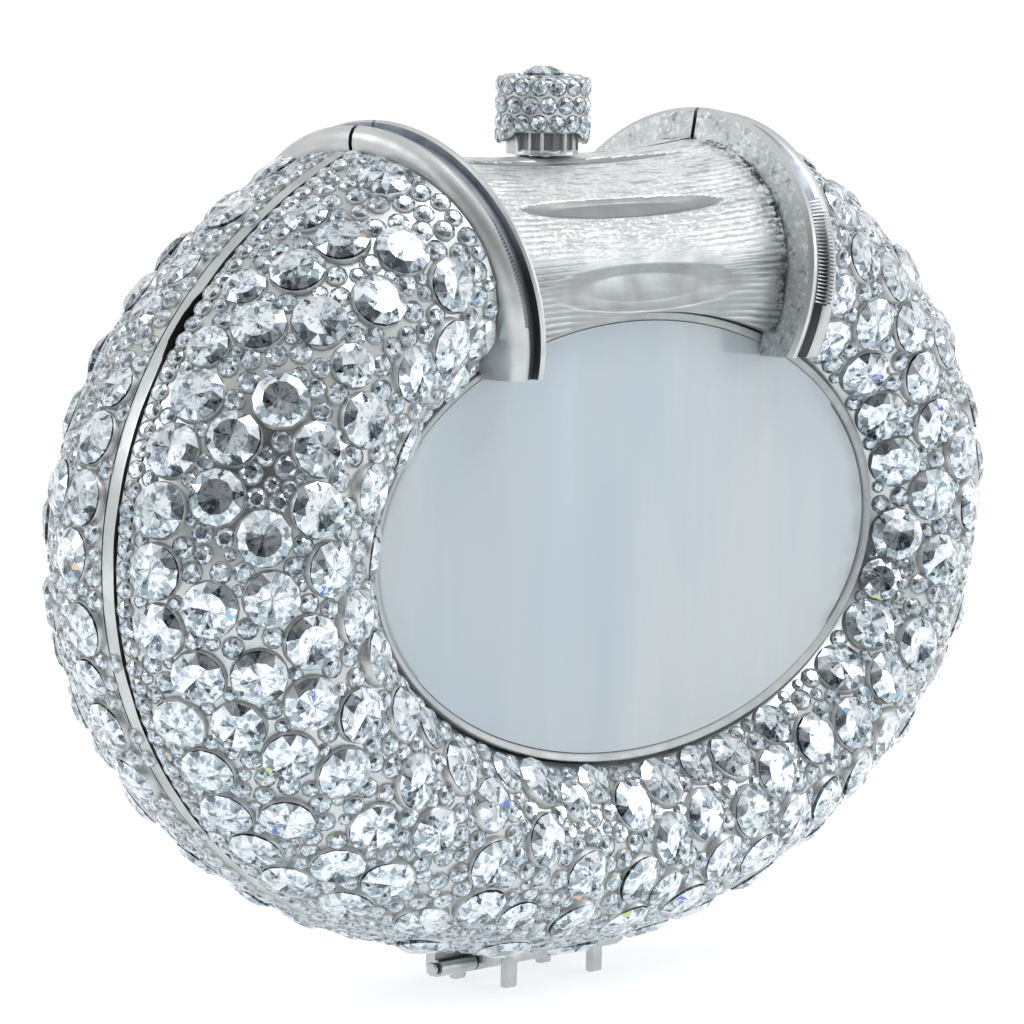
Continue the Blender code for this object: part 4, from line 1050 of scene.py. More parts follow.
def material_side():
    """Rough cast plate on the sides of the flanges, with pale flecks and a few pits."""
    made, tree, shader, place = start_material("cast side plate", Metallic=0.6)
    colour = metal().spool_colour
    plain = use_wear(tree, shader, shade(colour, 1.0), shade(colour, 0.86), 260.0, 0.42, 0.56)
    flecks = noise(tree, place, 1300.0, 3.0, 0.6)
    pits = noise(tree, place, 700.0, 3.0, 0.6)
    pale = mix_colours(tree, spread(tree, flecks, 0.0, 0.6, (0.50, 0.64)), plain, PALE_FLECK)
    pitted = mix_colours(tree, spread(tree, pits, 0.7, 0.0, (0.34, 0.41)), pale, shade(colour, 0.40))
    feed(shader["Base Color"], pitted)
    feed(shader["Normal"], bump(tree, flecks, 0.00012, 0.7))
    return made


def material_groove():
    """Groove of a flange: slate painted as the groove's shade, and nearly black lower down as deeper painted shade.
    """
    made, tree, shader, place = start_material("groove plate", Metallic=0.9)
    colour = metal().slate_colour
    plain = use_wear(tree, shader, shade(colour, 1.3), shade(colour, 0.8), 320.0, 0.30, 0.48)
    low = spread(tree, height_of(tree, place), 0.9, 0.0, (FLANGE_AXIS + 0.004, FLANGE_AXIS + 0.012))
    feed(shader["Base Color"], mix_colours(tree, low, plain, shade(colour, 0.16)))
    return made


def material_hammered():
    """Cast plate with wavy streaks along the spool, its sandblasted relief strongest on top and smoother towards the
    panel; pale flecks painted on the top, most near the crest, as painted light, and the lower part painted darker
    as shade.
    """
    made, tree, shader, place = start_material("hammered plate", Metallic=0.75)
    colour = metal().spool_colour
    plain = use_wear(tree, shader, shade(colour, 1.08), shade(colour, 0.90), 150.0, 0.30, 0.46)
    streaks = noise(tree, stretched(tree, place, (0.14, 1.0, 1.0)), 1500.0, 4.0, 0.65)
    speckles = noise(tree, stretched(tree, place, (0.50, 1.0, 1.0)), 2100.0, 2.0, 0.6)
    height = height_of(tree, place)
    # Top of the spool painted lighter with pale flecks, most near the crest, as painted light
    upper = spread(tree, height, 0.0, 1.0, (FLANGE_AXIS + 0.004, FLANGE_AXIS + 0.009))
    crest = spread(tree, height, 0.0, 0.55, (FLANGE_AXIS + 0.011, FLANGE_AXIS + 0.016))
    fleck = calculate(tree, "ADD", spread(tree, speckles, 0.0, 0.80, (0.46, 0.64)), crest)
    light = calculate(tree, "MULTIPLY", calculate(tree, "MINIMUM", fleck, 0.95), upper)
    # Lower part painted darker as shade, the top with its painted light
    smooth = mix_colours(tree, upper, shade(colour, 0.54), mix_colours(tree, light, plain, PALE_FLECK))
    streaked = mix_colours(tree, spread(tree, streaks, 0.75, 0.0, (0.36, 0.47)), smooth, shade(colour, 0.62))
    ends = add_node(tree, "Attribute", attribute_name="end_share").outputs["Fac"]
    blots = spread(tree, noise(tree, place, 620.0, 3.0, 0.7), 0.0, 1.0, (0.48, 0.56))
    blot = calculate(tree, "MULTIPLY", blots, spread(tree, ends, 0.0, 1.0, (0.90, 0.985)))
    feed(shader["Base Color"], mix_colours(tree, blot, streaked, shade(colour, 0.12)))
    level = calculate(tree, "MULTIPLY_ADD", upper, 0.75, 0.25)
    relief = calculate(tree, "MULTIPLY", calculate(tree, "ADD", streaks, speckles), level)
    feed(shader["Normal"], bump(tree, relief, 0.00016, 0.8))
    return made


def material_scoop():
    """Smooth plate inside the spool's scoops, painted darker grey than the spool as the scoops' shade."""
    made, tree, shader, place = start_material("scoop plate", Metallic=0.65)
    colour = metal().spool_colour
    use_wear(tree, shader, shade(colour, 0.53 * 1.12), shade(colour, 0.53 * 0.88), 160.0, 0.34, 0.48)
    relief = noise(tree, stretched(tree, place, (0.2, 1.0, 1.0)), 900.0, 2.0)
    feed(shader["Normal"], bump(tree, relief, 0.00006, 0.5))
    return made


def crystal_material(name, metallic, coat, rough, **values):
    """Foiled crystal: each facet has its own painted reflection, broken up into shards."""
    made, tree, shader, _ = start_material(name, Metallic=metallic, Coat_Weight=coat, Coat_Roughness=0.03)
    tones = tree.nodes.new("ShaderNodeGroup")
    tones.node_tree = group_tones()
    for key, value in values.items():
        tones.inputs[key.replace("_", " ")].default_value = value
    feed(shader["Base Color"], tones.outputs["Colour"])
    feed(shader["Roughness"], spread(tree, tones.outputs["Shard"], 0.03, rough))
    return made


def material_crystal():
    return crystal_material(
        "foiled crystal", 0.70, 0.5, 0.20,
        Shards_Round=3.4, Shards_Out=5.0, Shard_Share=0.70, Contrast=0.76, Level=0.67,
    )


def material_fine_crystal():
    """The same for the small crystals, softer and greyer."""
    return crystal_material(
        "fine foiled crystal", 0.66, 0.4, 0.26,
        Shards_Round=2.1, Shards_Out=3.0, Shard_Share=0.55, Contrast=0.50, Level=0.56,
    )


def material_pearl():
    """Glossy pearly resin with soft upright streaks and faint warm tints."""
    made, tree, shader, place = start_material(
        "pearly resin", Metallic=0.0, Roughness=0.22, Coat_Weight=0.6, Coat_Roughness=0.08
    )
    settings = panels()
    streaks = noise(tree, stretched(tree, place, (1.0, 1.0, 0.09)), 105.0, 5.0, 0.55)
    clouds = noise(tree, stretched(tree, place, (1.0, 1.0, 0.35)), 34.0, 3.0)
    pearl = ramp(tree, streaks, (
        (0.30, shade(settings.pearl_dark, 1.0)), (0.50, shade(settings.pearl_light, 0.94)),
        (0.70, shade(settings.pearl_light, 1.04)),
    ))
    tints = ramp(tree, clouds, (
        (0.36, srgb(182, 202, 216)), (0.50, srgb(198, 209, 216)),
        (0.60, srgb(214, 218, 214)), (0.70, srgb(200, 211, 219)),
    ))
    feed(shader["Base Color"], mix_colours(tree, 0.45, pearl, tints))
    feed(shader["Roughness"], spread(tree, clouds, 0.16, 0.30))
    return made


def material_satin():
    """Satin on card: a fine slanted weave with a soft sheen."""
    made, tree, shader, place = start_material(
        "satin lining", Metallic=0.0, Sheen_Weight=0.35, Sheen_Roughness=0.4
    )
    colour = panels().lining_colour
    use_wear(tree, shader, shade(colour, 1.12), shade(colour, 0.85), 70.0, 0.42, 0.58)
    weave = {"Vector": place, "Scale": 900.0, "Distortion": 0.6, "Detail": 2.0}
    threads = add_node(tree, "TexWave", weave, bands_direction="DIAGONAL").outputs["Fac"]
    feed(shader["Normal"], bump(tree, threads, 0.00005, 0.5))
    return made


MAKERS = {
    "side": material_side, "groove": material_groove, "hammered": material_hammered, "scoop": material_scoop,
    "crystal": material_crystal, "fine_crystal": material_fine_crystal, "pearl": material_pearl,
    "satin": material_satin,
}
_made = {}


def surface(word):
    """Material by its word, made once."""
    if word not in _made:
        _made[word] = plate_material(PLATES[word]) if word in PLATES else MAKERS[word]()
    return _made[word]


# Operators

# Share of wedges in a crystal's table painted dark as reflections, shares of the faces that get a painted glint,
# greatest turn of a large crystal, the pixel column left of which glints lie on the rear bed, chance points for the
# least crystals, and rounds of growing
BED_DARK_SHARE = 0.30
LARGE_SPARK_SHARE = 0.006
SMALL_SPARK_SHARE = 0.003
LARGE_SPIN = math.radians(35.0)
REAR_GLINT_COLUMN = 145
DROP_TRIES = 6000
GROWTH_ROUNDS = 4


class CLUTCH_OT_pave_beds(Operator):
    """Pave both beds with crystals in metal cups."""

    bl_idname = "clutch.pave_beds"
    bl_label = "Pave Beds"

    def execute(self, context):
        chance = random.Random(paving().seed)
        large_cuts = crystal_cuts("large cut ", LARGE_LEVELS, count=12, dark_share=BED_DARK_SHARE)
        small_cuts = crystal_cuts("small cut ", SMALL_LEVELS, count=10, dark_share=BED_DARK_SHARE)
        large_cup = cup_mesh("large cup", LARGE_CUP, steps=28)
        small_cup = cup_mesh("small cup", SMALL_CUP, steps=10)
        for word, hand in HALVES:
            bed = Bed(word, hand)
            self.pack(bed, chance)
            glints = GLINTS if word == "front" else [row for row in GLINTS if row[0] < REAR_GLINT_COLUMN]
            piece = self.set_stones(bed, "_large_crystals", bed.large, large_cuts, chance, LARGE_SPIN)
            add_sparks(piece, chance, LARGE_SPARK_SHARE, glints)
            piece = self.set_stones(bed, "_small_crystals", bed.small, small_cuts, chance, math.pi)
            add_sparks(piece, chance, SMALL_SPARK_SHARE)
            self.set_stones(bed, "_large_cups", bed.large, [large_cup], chance, 0.0)
            self.set_stones(bed, "_small_cups", bed.small, [small_cup], chance, 0.0)
            self.make_plate(bed)
            bed.skin.free()
        return {"FINISHED"}

    def pack(self, bed, chance):
        """Fill the room between the large crystals, along the seam first."""
        settings = paving()
        packing = Packing(bed, chance)
        packing.line_seam(settings.small_radius * SEAM_SIZE)
        step = (settings.small_radius - settings.least_radius) / (GROWTH_ROUNDS - 1)
        for i in range(GROWTH_ROUNDS):
            packing.grow(settings.small_radius - step * i)
        packing.drop(settings.least_radius, DROP_TRIES)
        if not bed.large or not bed.small:
            raise RuntimeError("no crystals fit on the " + bed.word + " bed")

    def set_stones(self, bed, label, stones, shapes, chance, spin_range):
        """Make one piece of the crystals or the cups of a bed."""
        shape = merged_stones(bed, stones, shapes, chance, spin_range)
        body, node = bed.word + "_half", bed.word + "_crystal_bed"
        if label.endswith("cups"):
            angle = math.radians(40.0)
            return finish_piece(bed.word + label, shape, ["satin_plate"], body, [node], angle)
        word = "crystal" if stones is bed.large else "fine_crystal"
        return finish_piece(bed.word + label, shape, [word], body, [node])

    def make_plate(self, bed):
        """Make the plate that the crystals of a bed stand in."""
        plate = mirror_half(spun_ring(bed_profile(8, 24, SEAM_ANGLE), False, BED_STEPS), bed.hand)
        tidy_normals(plate)
        cut_bridge(plate, GAP)
        bmesh.ops.solidify(plate, geom=plate.faces[:], thickness=BED_THICKNESS)
        tidy_normals(plate)
        finish_piece(
            bed.word + "_bed_plate", plate, ["bed"], bed.word + "_half", [bed.word + "_crystal_bed"],
            math.radians(40.0),
        )


# Slot in the parting line: turn of its middle, half its length, and how far each rim stands back in it
SLOT_MIDDLE = math.radians(156.6)
SLOT_HALF = math.radians(3.8)
SLOT_PULL = 0.0010
SEAM_WAVE = 0.00007

# Rims: the width as a share of the ring, the edge at the seam, the rounding of the edges, and how near the
# seam a vertex follows the slot
RIM_WIDTH_SHARE = 0.14
RIM_EDGE = SEAM_DEPTH + 0.0001
RIM_ROUNDING = 0.0007
RIM_FOLLOW = 0.0005

# Faces of the slot painted dark as its shadow: least share of the pull, least turn towards the seam, and depth as a
# share of the rim
SLOT_SHARE = 0.25
SLOT_FACING = 0.3
SLOT_REACH = 0.8


def seam_pull(turn):
    """How far a rim's edge stands back from the parting line: a slight wave, and the slot on the left."""
    wave = SEAM_WAVE * (1.0 + 0.5 * math.sin(turn * 37.0) + 0.5 * math.sin(turn * 61.0 + 1.0))
    away = abs(turn % FULL_TURN - SLOT_MIDDLE) / SLOT_HALF
    if away >= 1.0:
        return wave
    return wave + SLOT_PULL * (1.0 - away) ** 0.6 * (0.85 + 0.15 * math.sin(turn * 160.0))


class CLUTCH_OT_make_rims(Operator):
    """Make the rims along the seam."""

    bl_idname = "clutch.make_rims"
    bl_label = "Make Rims"

    def execute(self, context):
        inner = 1.0 - RIM_WIDTH_SHARE
        corners = ((inner, RIM_EDGE), (1.0, RIM_EDGE), (1.0, RIM_TOP), (inner, RIM_TOP))
        outline = rounded(corners, RIM_ROUNDING, 4)
        for half in HALVES:
            shape = spun_ring(outline, True, RIM_STEPS)
            for vertex in shape.verts:
                if -vertex.co.y < RIM_EDGE + RIM_FOLLOW:
                    vertex.co.y -= seam_pull(math.atan2(vertex.co.z - CENTRE, vertex.co.x))
            shape.normal_update()
            # Walls of the slot get the nearly black plate, painted as the slot's shadow
            for face in shape.faces:
                middle = face.calc_center_median()
                pulled = seam_pull(math.atan2(middle.z - CENTRE, middle.x)) > SLOT_PULL * SLOT_SHARE
                if pulled and abs(face.normal.y) > SLOT_FACING and -middle.y < RIM_TOP * SLOT_REACH:
                    face.material_index = 1
            cut_bridge(shape, GAP)
            fill_ends(shape)
            finish_half(half, "_rim_band", shape, ["bed", "slot_shadow"], "_rim", math.radians(35.0))
        return {"FINISHED"}


# Steps round a panel, its eased edge, and a bezel's width while it is spun, its rise over the panel, the
# rise of its outer edge over the inner one, and its rounding
PANEL_STEPS = 200
PANEL_BEVEL = 0.0006
SPUN_WIDTH = 0.001
BEZEL_RISE = 0.0001
BEZEL_SLOPE = 0.0004
BEZEL_ROUNDING = 0.0003


class CLUTCH_OT_make_panels(Operator):
    """Make the pearly panels."""

    bl_idname = "clutch.make_panels"
    bl_label = "Make Panels"

    def execute(self, context):
        for half in HALVES:
            shape = oval_prism(PANEL_HALF_WIDTH, PANEL_HALF_HEIGHT, -PANEL_BACK, -PANEL_FRONT, PANEL_STEPS)
            rim = [edge for edge in shape.edges if all(v.co.y < -PANEL_FRONT + 1e-5 for v in edge.verts)]
            bmesh.ops.bevel(
                shape, geom=rim, offset=PANEL_BEVEL, segments=4, profile=0.5, affect="EDGES", material=-1
            )
            finish_half(half, "_pearl", shape, ["pearl"], "_panel", math.radians(30.0))
        return {"FINISHED"}


class CLUTCH_OT_make_bezels(Operator):
    """Make the thin metal bezels round the panels."""

    bl_idname = "clutch.make_bezels"
    bl_label = "Make Bezels"

    def execute(self, context):
        low = -BEZEL_HIGH.y
        high = PANEL_FRONT + BEZEL_RISE
        inner = (PANEL_HALF_WIDTH + GAP - SNUG, PANEL_HALF_HEIGHT + GAP - SNUG)
        outer = (BEZEL_HIGH.x, (BEZEL_HIGH.z - BEZEL_LOW.z) / 2)
        corners = ((0.0, low), (SPUN_WIDTH, low), (SPUN_WIDTH, high + BEZEL_SLOPE), (0.0, high))
        row = [(1.0 + share, -depth, 0.0) for share, depth in rounded(corners, BEZEL_ROUNDING, 3)]
        for half in HALVES:
            shape = spun(row, True, (0.0, 1.0, 0.0), PANEL_STEPS)
            for vertex in shape.verts:
                turn = math.atan2(vertex.co.z, vertex.co.x)
                share = (math.hypot(vertex.co.x, vertex.co.z) - 1.0) / SPUN_WIDTH
                wide = inner[0] + (outer[0] - inner[0]) * share
                high_half = inner[1] + (outer[1] - inner[1]) * share
                vertex.co.x = wide * math.cos(turn)
                vertex.co.z = CENTRE - PANEL_DROP + high_half * math.sin(turn)
            finish_half(half, "_bezel_ring", shape, ["bezel"], "_bezel", math.radians(35.0))
        return {"FINISHED"}


def oval_prism(half_width, half_height, low, high, segments=160):
    """Closed prism over an oval about the panel's middle, along Y."""
    shape = bmesh.new()
    turned = Matrix.Rotation(math.pi / 2, 4, "X")
    bmesh.ops.create_circle(shape, cap_ends=True, radius=1.0, segments=segments, matrix=turned)
    pushed = bmesh.ops.extrude_face_region(shape, geom=shape.faces[:])["geom"]
    moved = {item for item in pushed if isinstance(item, bmesh.types.BMVert)}
    for vertex in shape.verts:
        depth = high if vertex in moved else low
        vertex.co = Vector((vertex.co.x * half_width, depth, CENTRE - PANEL_DROP + vertex.co.z * half_height))
    return shape


def scoop(angle, share):
    """Depth of the long scoops at one angle round the spool and one share along it."""
    deepest = 0.0
    for middle, width in zip(SCOOP_ANGLES, SCOOP_WIDTHS):
        round_share = (angle - middle) / (SCOOP_HALF_ANGLE * width)
        long_share = share / SCOOP_LENGTH_SHARE
        deepest = max(deepest, 1.0 - round_share ** 2 - long_share ** 2)
    return min(1.0, 1.6 * deepest)


def spool_offset(angle, share):
    """Relief on the spool: scoops in the middle and wavy ridges that fade from its ends."""
    settings = metal()
    dent = scoop(angle, share)
    ends = max(0.0, (abs(share) - 0.25) / 0.75)
    bend = 0.9 * math.sin(share * 5.0 + angle * 3.0)
    wave = 2.0 * abs(math.sin(angle * settings.ridge_count * math.pi + bend)) - 1.0
    wobble = 0.6 + 0.4 * math.sin(angle * 17.0 + share * 4.0)
    return -SCOOP_DEPTH * dent + settings.ridge_height * wave * ends ** 1.5 * wobble * (1.0 - dent)


def around(point):
    """Angle from the top and distance of a point from the X axis."""
    return math.atan2(abs(point.y), point.z), math.hypot(point.y, point.z)


def saddle_point(share, angle, radius):
    """Point of the spool at one share of its length, one angle from the top and one radius."""
    rise = radius * math.cos(angle) * SPOOL_CREST_SHARE
    half = FLANGE_FACE + (rise * math.sin(FLANGE_TILT) - GAP) / math.cos(FLANGE_TILT)
    return Vector((half * share, -max(radius * math.sin(angle), SEAM_DEPTH), FLANGE_AXIS + rise))


# Steps along and round the spool, its radii while it is spun, and the depth share where a scoop's plate starts
SPOOL_STEPS_ALONG = 60
SPOOL_STEPS = 340
SPUN_OUTSIDE = 1.0
SPUN_INSIDE = 0.5
SPUN_MIDDLE = 0.75
SCOOP_EDGE = 0.2

# How far from the parting plane a cutter reaches
CUTTER_REACH = 0.05


class CLUTCH_OT_make_spools(Operator):
    """Make the hammered spool halves between the flanges."""

    bl_idname = "clutch.make_spools"
    bl_label = "Make Spools"

    def execute(self, context):
        shares = [2.0 * i / SPOOL_STEPS_ALONG - 1.0 for i in range(SPOOL_STEPS_ALONG + 1)]
        outline = [(share, 0.0, SPUN_OUTSIDE) for share in shares]
        outline += [(share, 0.0, SPUN_INSIDE) for share in reversed(shares)]
        for half in HALVES:
            shape = spun(outline, True, (1.0, 0.0, 0.0), SPOOL_STEPS, ROUND_END)
            for face in shape.faces:
                middle = face.calc_center_median()
                angle, far = around(middle)
                if far > SPUN_MIDDLE and scoop(angle, middle.x) > SCOOP_EDGE:
                    face.material_index = 1
            ends = shape.verts.layers.float.new("end_share")
            for vertex in shape.verts:
                share = vertex.co.x
                vertex[ends] = abs(share)
                angle, far = around(vertex.co)
                radius = SPOOL_WAIST + (SPOOL_FLARED - SPOOL_WAIST) * abs(share) ** SPOOL_FLARE
                if far > SPUN_MIDDLE:
                    radius += spool_offset(angle, share)
                else:
                    radius -= SPOOL_WALL
                vertex.co = saddle_point(share, angle, radius)
            fill_ends(shape)
            tidy_normals(shape)
            shape = carve(shape, oval_prism(
                EDGE_HALF_WIDTH - SNUG, EDGE_HALF_HEIGHT - SNUG, -CUTTER_REACH, CUTTER_REACH
            ))
            finish_half(half, "_saddle", shape, ["hammered", "scoop"], "_spool", math.radians(40.0))
        return {"FINISHED"}


# Knurl of the flanges: angles from the top where it starts and stops, and the angle over which it deepens
KNURL_START = math.radians(56.0)
KNURL_STOP = math.radians(92.0)
KNURL_FADE = math.radians(20.0)

# Section of a flange: distance from the spool's side, and height against the outer radius
FLANGE_OUTLINE = (
    (0.0, -0.0071), (0.0, -0.0009), (0.0004, -0.0003), (0.0009, -0.0002), (0.0013, -0.0004),
    (0.0015, -0.0012), (0.0026, -0.0012), (0.0034, -0.0005), (0.0039, -0.0002), (0.0046, 0.0),
    (0.0053, -0.0003), (0.0059, -0.0010), (0.0062, -0.0020), (0.0062, -0.0071),
)

# Groove: distances from the spool's side where it starts, where its slope starts and where it ends, the end of
# the knurl, and how far below the outer radius the dark plate, painted as shade, reaches. Then the distance that
# counts as touching the spool's side, how far the flange keeps off the parting plane, and the steps round it
GROOVE_START = 0.0013
GROOVE_WALL = 0.0026
GROOVE_END = 0.0034
KNURL_END = 0.0040
GROOVE_ROOM = 0.002
TOUCHING = 0.00001
SLOT_DEPTH = 0.0003
FLANGE_STEPS = 210

# Surfaces of a flange, and the places of the last three in the list
COLLAR_WORDS = ["satin_plate", "groove", "side", "slate"]
GROOVE_PLATE, SIDE_PLATE, PARTING_PLATE = 1, 2, 3


class CLUTCH_OT_make_flanges(Operator):
    """Make the four half flanges with their groove and knurl."""

    bl_idname = "clutch.make_flanges"
    bl_label = "Make Flanges"

    def execute(self, context):
        row = [(along, 0.0, FLANGE_RADIUS + out) for along, out in FLANGE_OUTLINE]
        for half in HALVES:
            for side_word, side in SIDES:
                shape = spun(row, True, (1.0, 0.0, 0.0), FLANGE_STEPS, ROUND_END)
                self.mark_groove(shape)
                self.place_rim(shape, side)
                # Ends of the flange at the parting plane get the dark plate, painted as the shade between the halves
                for face in fill_ends(shape):
                    if abs(face.calc_center_median().y) < SLOT_DEPTH * 1.5:
                        face.material_index = PARTING_PLATE
                bmesh.ops.bisect_plane(
                    shape, geom=everything(shape), plane_co=(0.0, 0.0, FLANGE_END), plane_no=(0.0, 0.0, -1.0),
                    clear_outer=True,
                )
                fill_ends(shape)
                tidy_normals(shape)
                behind = oval_prism(EDGE_HALF_WIDTH, EDGE_HALF_HEIGHT, BEZEL_LOW.y - GAP, CUTTER_REACH)
                finish_half(
                    half, "_" + side_word + "_collar", carve(shape, behind), COLLAR_WORDS,
                    "_" + side_word + "_flange", math.radians(30.0),
                )
        return {"FINISHED"}

    def mark_groove(self, shape):
        """Give the groove and the knurl's gaps the dark plate painted as their shade, and the spool's side its own.
        """
        for face in shape.faces:
            middle = face.calc_center_median()
            angle, far = around(middle)
            knurled = KNURL_START < angle < KNURL_STOP
            tick = knurled and round(angle / ROUND_END * FLANGE_STEPS - 0.5) % 2
            if middle.x < GROOVE_WALL:
                dark = middle.x > GROOVE_START
            elif middle.x < GROOVE_END:
                dark = not tick
            else:
                dark = middle.x < KNURL_END and knurled and not tick
            if dark and far > FLANGE_RADIUS - GROOVE_ROOM:
                face.material_index = GROOVE_PLATE
            elif middle.x < TOUCHING:
                face.material_index = SIDE_PLATE

    def place_rim(self, shape, side):
        """Cut the knurl, and move the flange to its place on the front half."""
        depth = metal().knurl_depth
        spot, away = flange_plane(side, 0.0)
        up = Vector((side * math.sin(FLANGE_TILT), 0.0, math.cos(FLANGE_TILT)))
        for vertex in shape.verts:
            along = vertex.co.x
            angle, radius = around(vertex.co)
            cut = round(angle / ROUND_END * FLANGE_STEPS) % 2
            if GROOVE_END - 0.0001 < along < KNURL_END and cut and angle < KNURL_STOP:
                radius -= depth * min(1.0, max(0.0, (angle - KNURL_START) / KNURL_FADE))
            vertex.co = spot + away * along + up * (radius * math.cos(angle))
            vertex.co.y = -max(radius * math.sin(angle), SLOT_DEPTH)


# Distance and angle below which a CAD mesh is merged, and the angle above which an edge counts as sharp
WELD = 2e-6
FLAT_ANGLE = math.radians(2.0)
SHARP_ANGLE = 0.6


def refined(node, bevel=0.0):
    """A merged copy of a CAD node's mesh, with its flat faces whole and its sharp edges eased."""
    shape = bmesh.new()
    shape.from_mesh(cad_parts[node].data)
    for name in list(shape.loops.layers.uv.keys()):
        shape.loops.layers.uv.remove(shape.loops.layers.uv[name])
    bmesh.ops.remove_doubles(shape, verts=shape.verts, dist=WELD)
    bmesh.ops.dissolve_limit(shape, angle_limit=FLAT_ANGLE, verts=shape.verts, edges=shape.edges)
    if bevel:
        joined = [edge for edge in shape.edges if len(edge.link_faces) == 2]
        bmesh.ops.bevel(
            shape, geom=[edge for edge in joined if edge.calc_face_angle(0.0) > SHARP_ANGLE], offset=bevel,
            segments=2, profile=0.5, affect="EDGES", material=-1, clamp_overlap=True,
        )
    tidy_normals(shape)
    return shape


# Pieces that keep their solid's shape: node, piece name, surface, slot, body, width of the eased edge
EASED = (
    ("front_shell", "front_inner_wall", "bed", "shell_metal", "front_half", 0.0),
    ("back_shell", "back_inner_wall", "bed", "shell_metal", "back_half", 0.0),
    ("front_lining", "front_satin_tray", "satin", "lining", "front_half", 0.0),
    ("back_lining", "back_satin_tray", "satin", "lining", "back_half", 0.0),
    ("front_left_foot", "front_left_prong", "bed", "polished_metal", "front_half", 0.00018),
    ("front_right_foot", "front_right_prong", "bed", "polished_metal", "front_half", 0.00018),
    ("back_left_foot", "back_left_prong", "bed", "polished_metal", "back_half", 0.00018),
    ("back_right_foot", "back_right_prong", "bed", "polished_metal", "back_half", 0.00018),
    ("knob_post", "fluted_sleeve", "satin_plate", "polished_metal", "back_half", 0.0),
    ("post_nut", "sleeve_nut", "cast", "cast_metal", "back_half", 0.0001),
    ("catch_plate", "catch_tongue", "cast", "cast_metal", "front_half", 0.00012),
    ("latch_hook", "latch_tooth", "cast", "cast_metal", "knob", 0.00012),
    ("return_spring", "coil_spring", "polished", "polished_metal", "back_half", 0.0),
    ("plunger", "knob_stem", "polished", "polished_metal", "knob", 0.0),
    ("hinge_pin", "hinge_rod", "bed", "polished_metal", "back_half", 0.0001),
    ("back_knuckle_1", "back_tube_1", "bed", "polished_metal", "back_half", 0.0),
    ("front_knuckle_2", "front_tube_2", "bed", "polished_metal", "front_half", 0.0),
    ("back_knuckle_3", "back_tube_3", "bed", "polished_metal", "back_half", 0.0),
    ("front_knuckle_4", "front_tube_4", "bed", "polished_metal", "front_half", 0.0),
    ("back_knuckle_5", "back_tube_5", "bed", "polished_metal", "back_half", 0.0),
)


class CLUTCH_OT_ease_fittings(Operator):
    """Ease and finish the linings, feet, hinge and latch."""

    bl_idname = "clutch.ease_fittings"
    bl_label = "Ease Fittings"

    def execute(self, context):
        for node, name, word, slot, body, bevel in EASED:
            finish_piece(name, refined(node, bevel), [word], body, [node], math.radians(35.0))
        return {"FINISHED"}


def skirt_drop(angle):
    """How far the cap's lower edge hangs down at one angle round it."""
    drop = 0.0
    for middle in SKIRT_MIDDLES:
        away = abs((angle - middle + math.pi) % FULL_TURN - math.pi)
        if away < SKIRT_HALF_ANGLE:
            drop = max(drop, SKIRT_DROP * math.cos(away / SKIRT_HALF_ANGLE * math.pi / 2) ** SKIRT_STEEPNESS)
    return drop


# Cone crystal, as rings of a unit crystal; the spacing and greatest turn of the knob's small ones; and the share
# of a skirt's drop from which it carries them, with their rise and size there as shares of their radius
TOP_LEVELS = ((0.92, -0.02, 24, 0.0), (1.0, 0.10, 24, 0.0), (0.80, 0.24, 12, 0.5), (0.42, 0.40, 12, 0.0))
KNOB_DARK_SHARE = 0.35
KNOB_SPACING = 1.06
KNOB_SPIN = 3.0
SKIRT_SHARE = 0.6
SKIRT_RISE = 0.9
SKIRT_SIZE = 0.95
TOP_SPARK_SHARE = 0.01


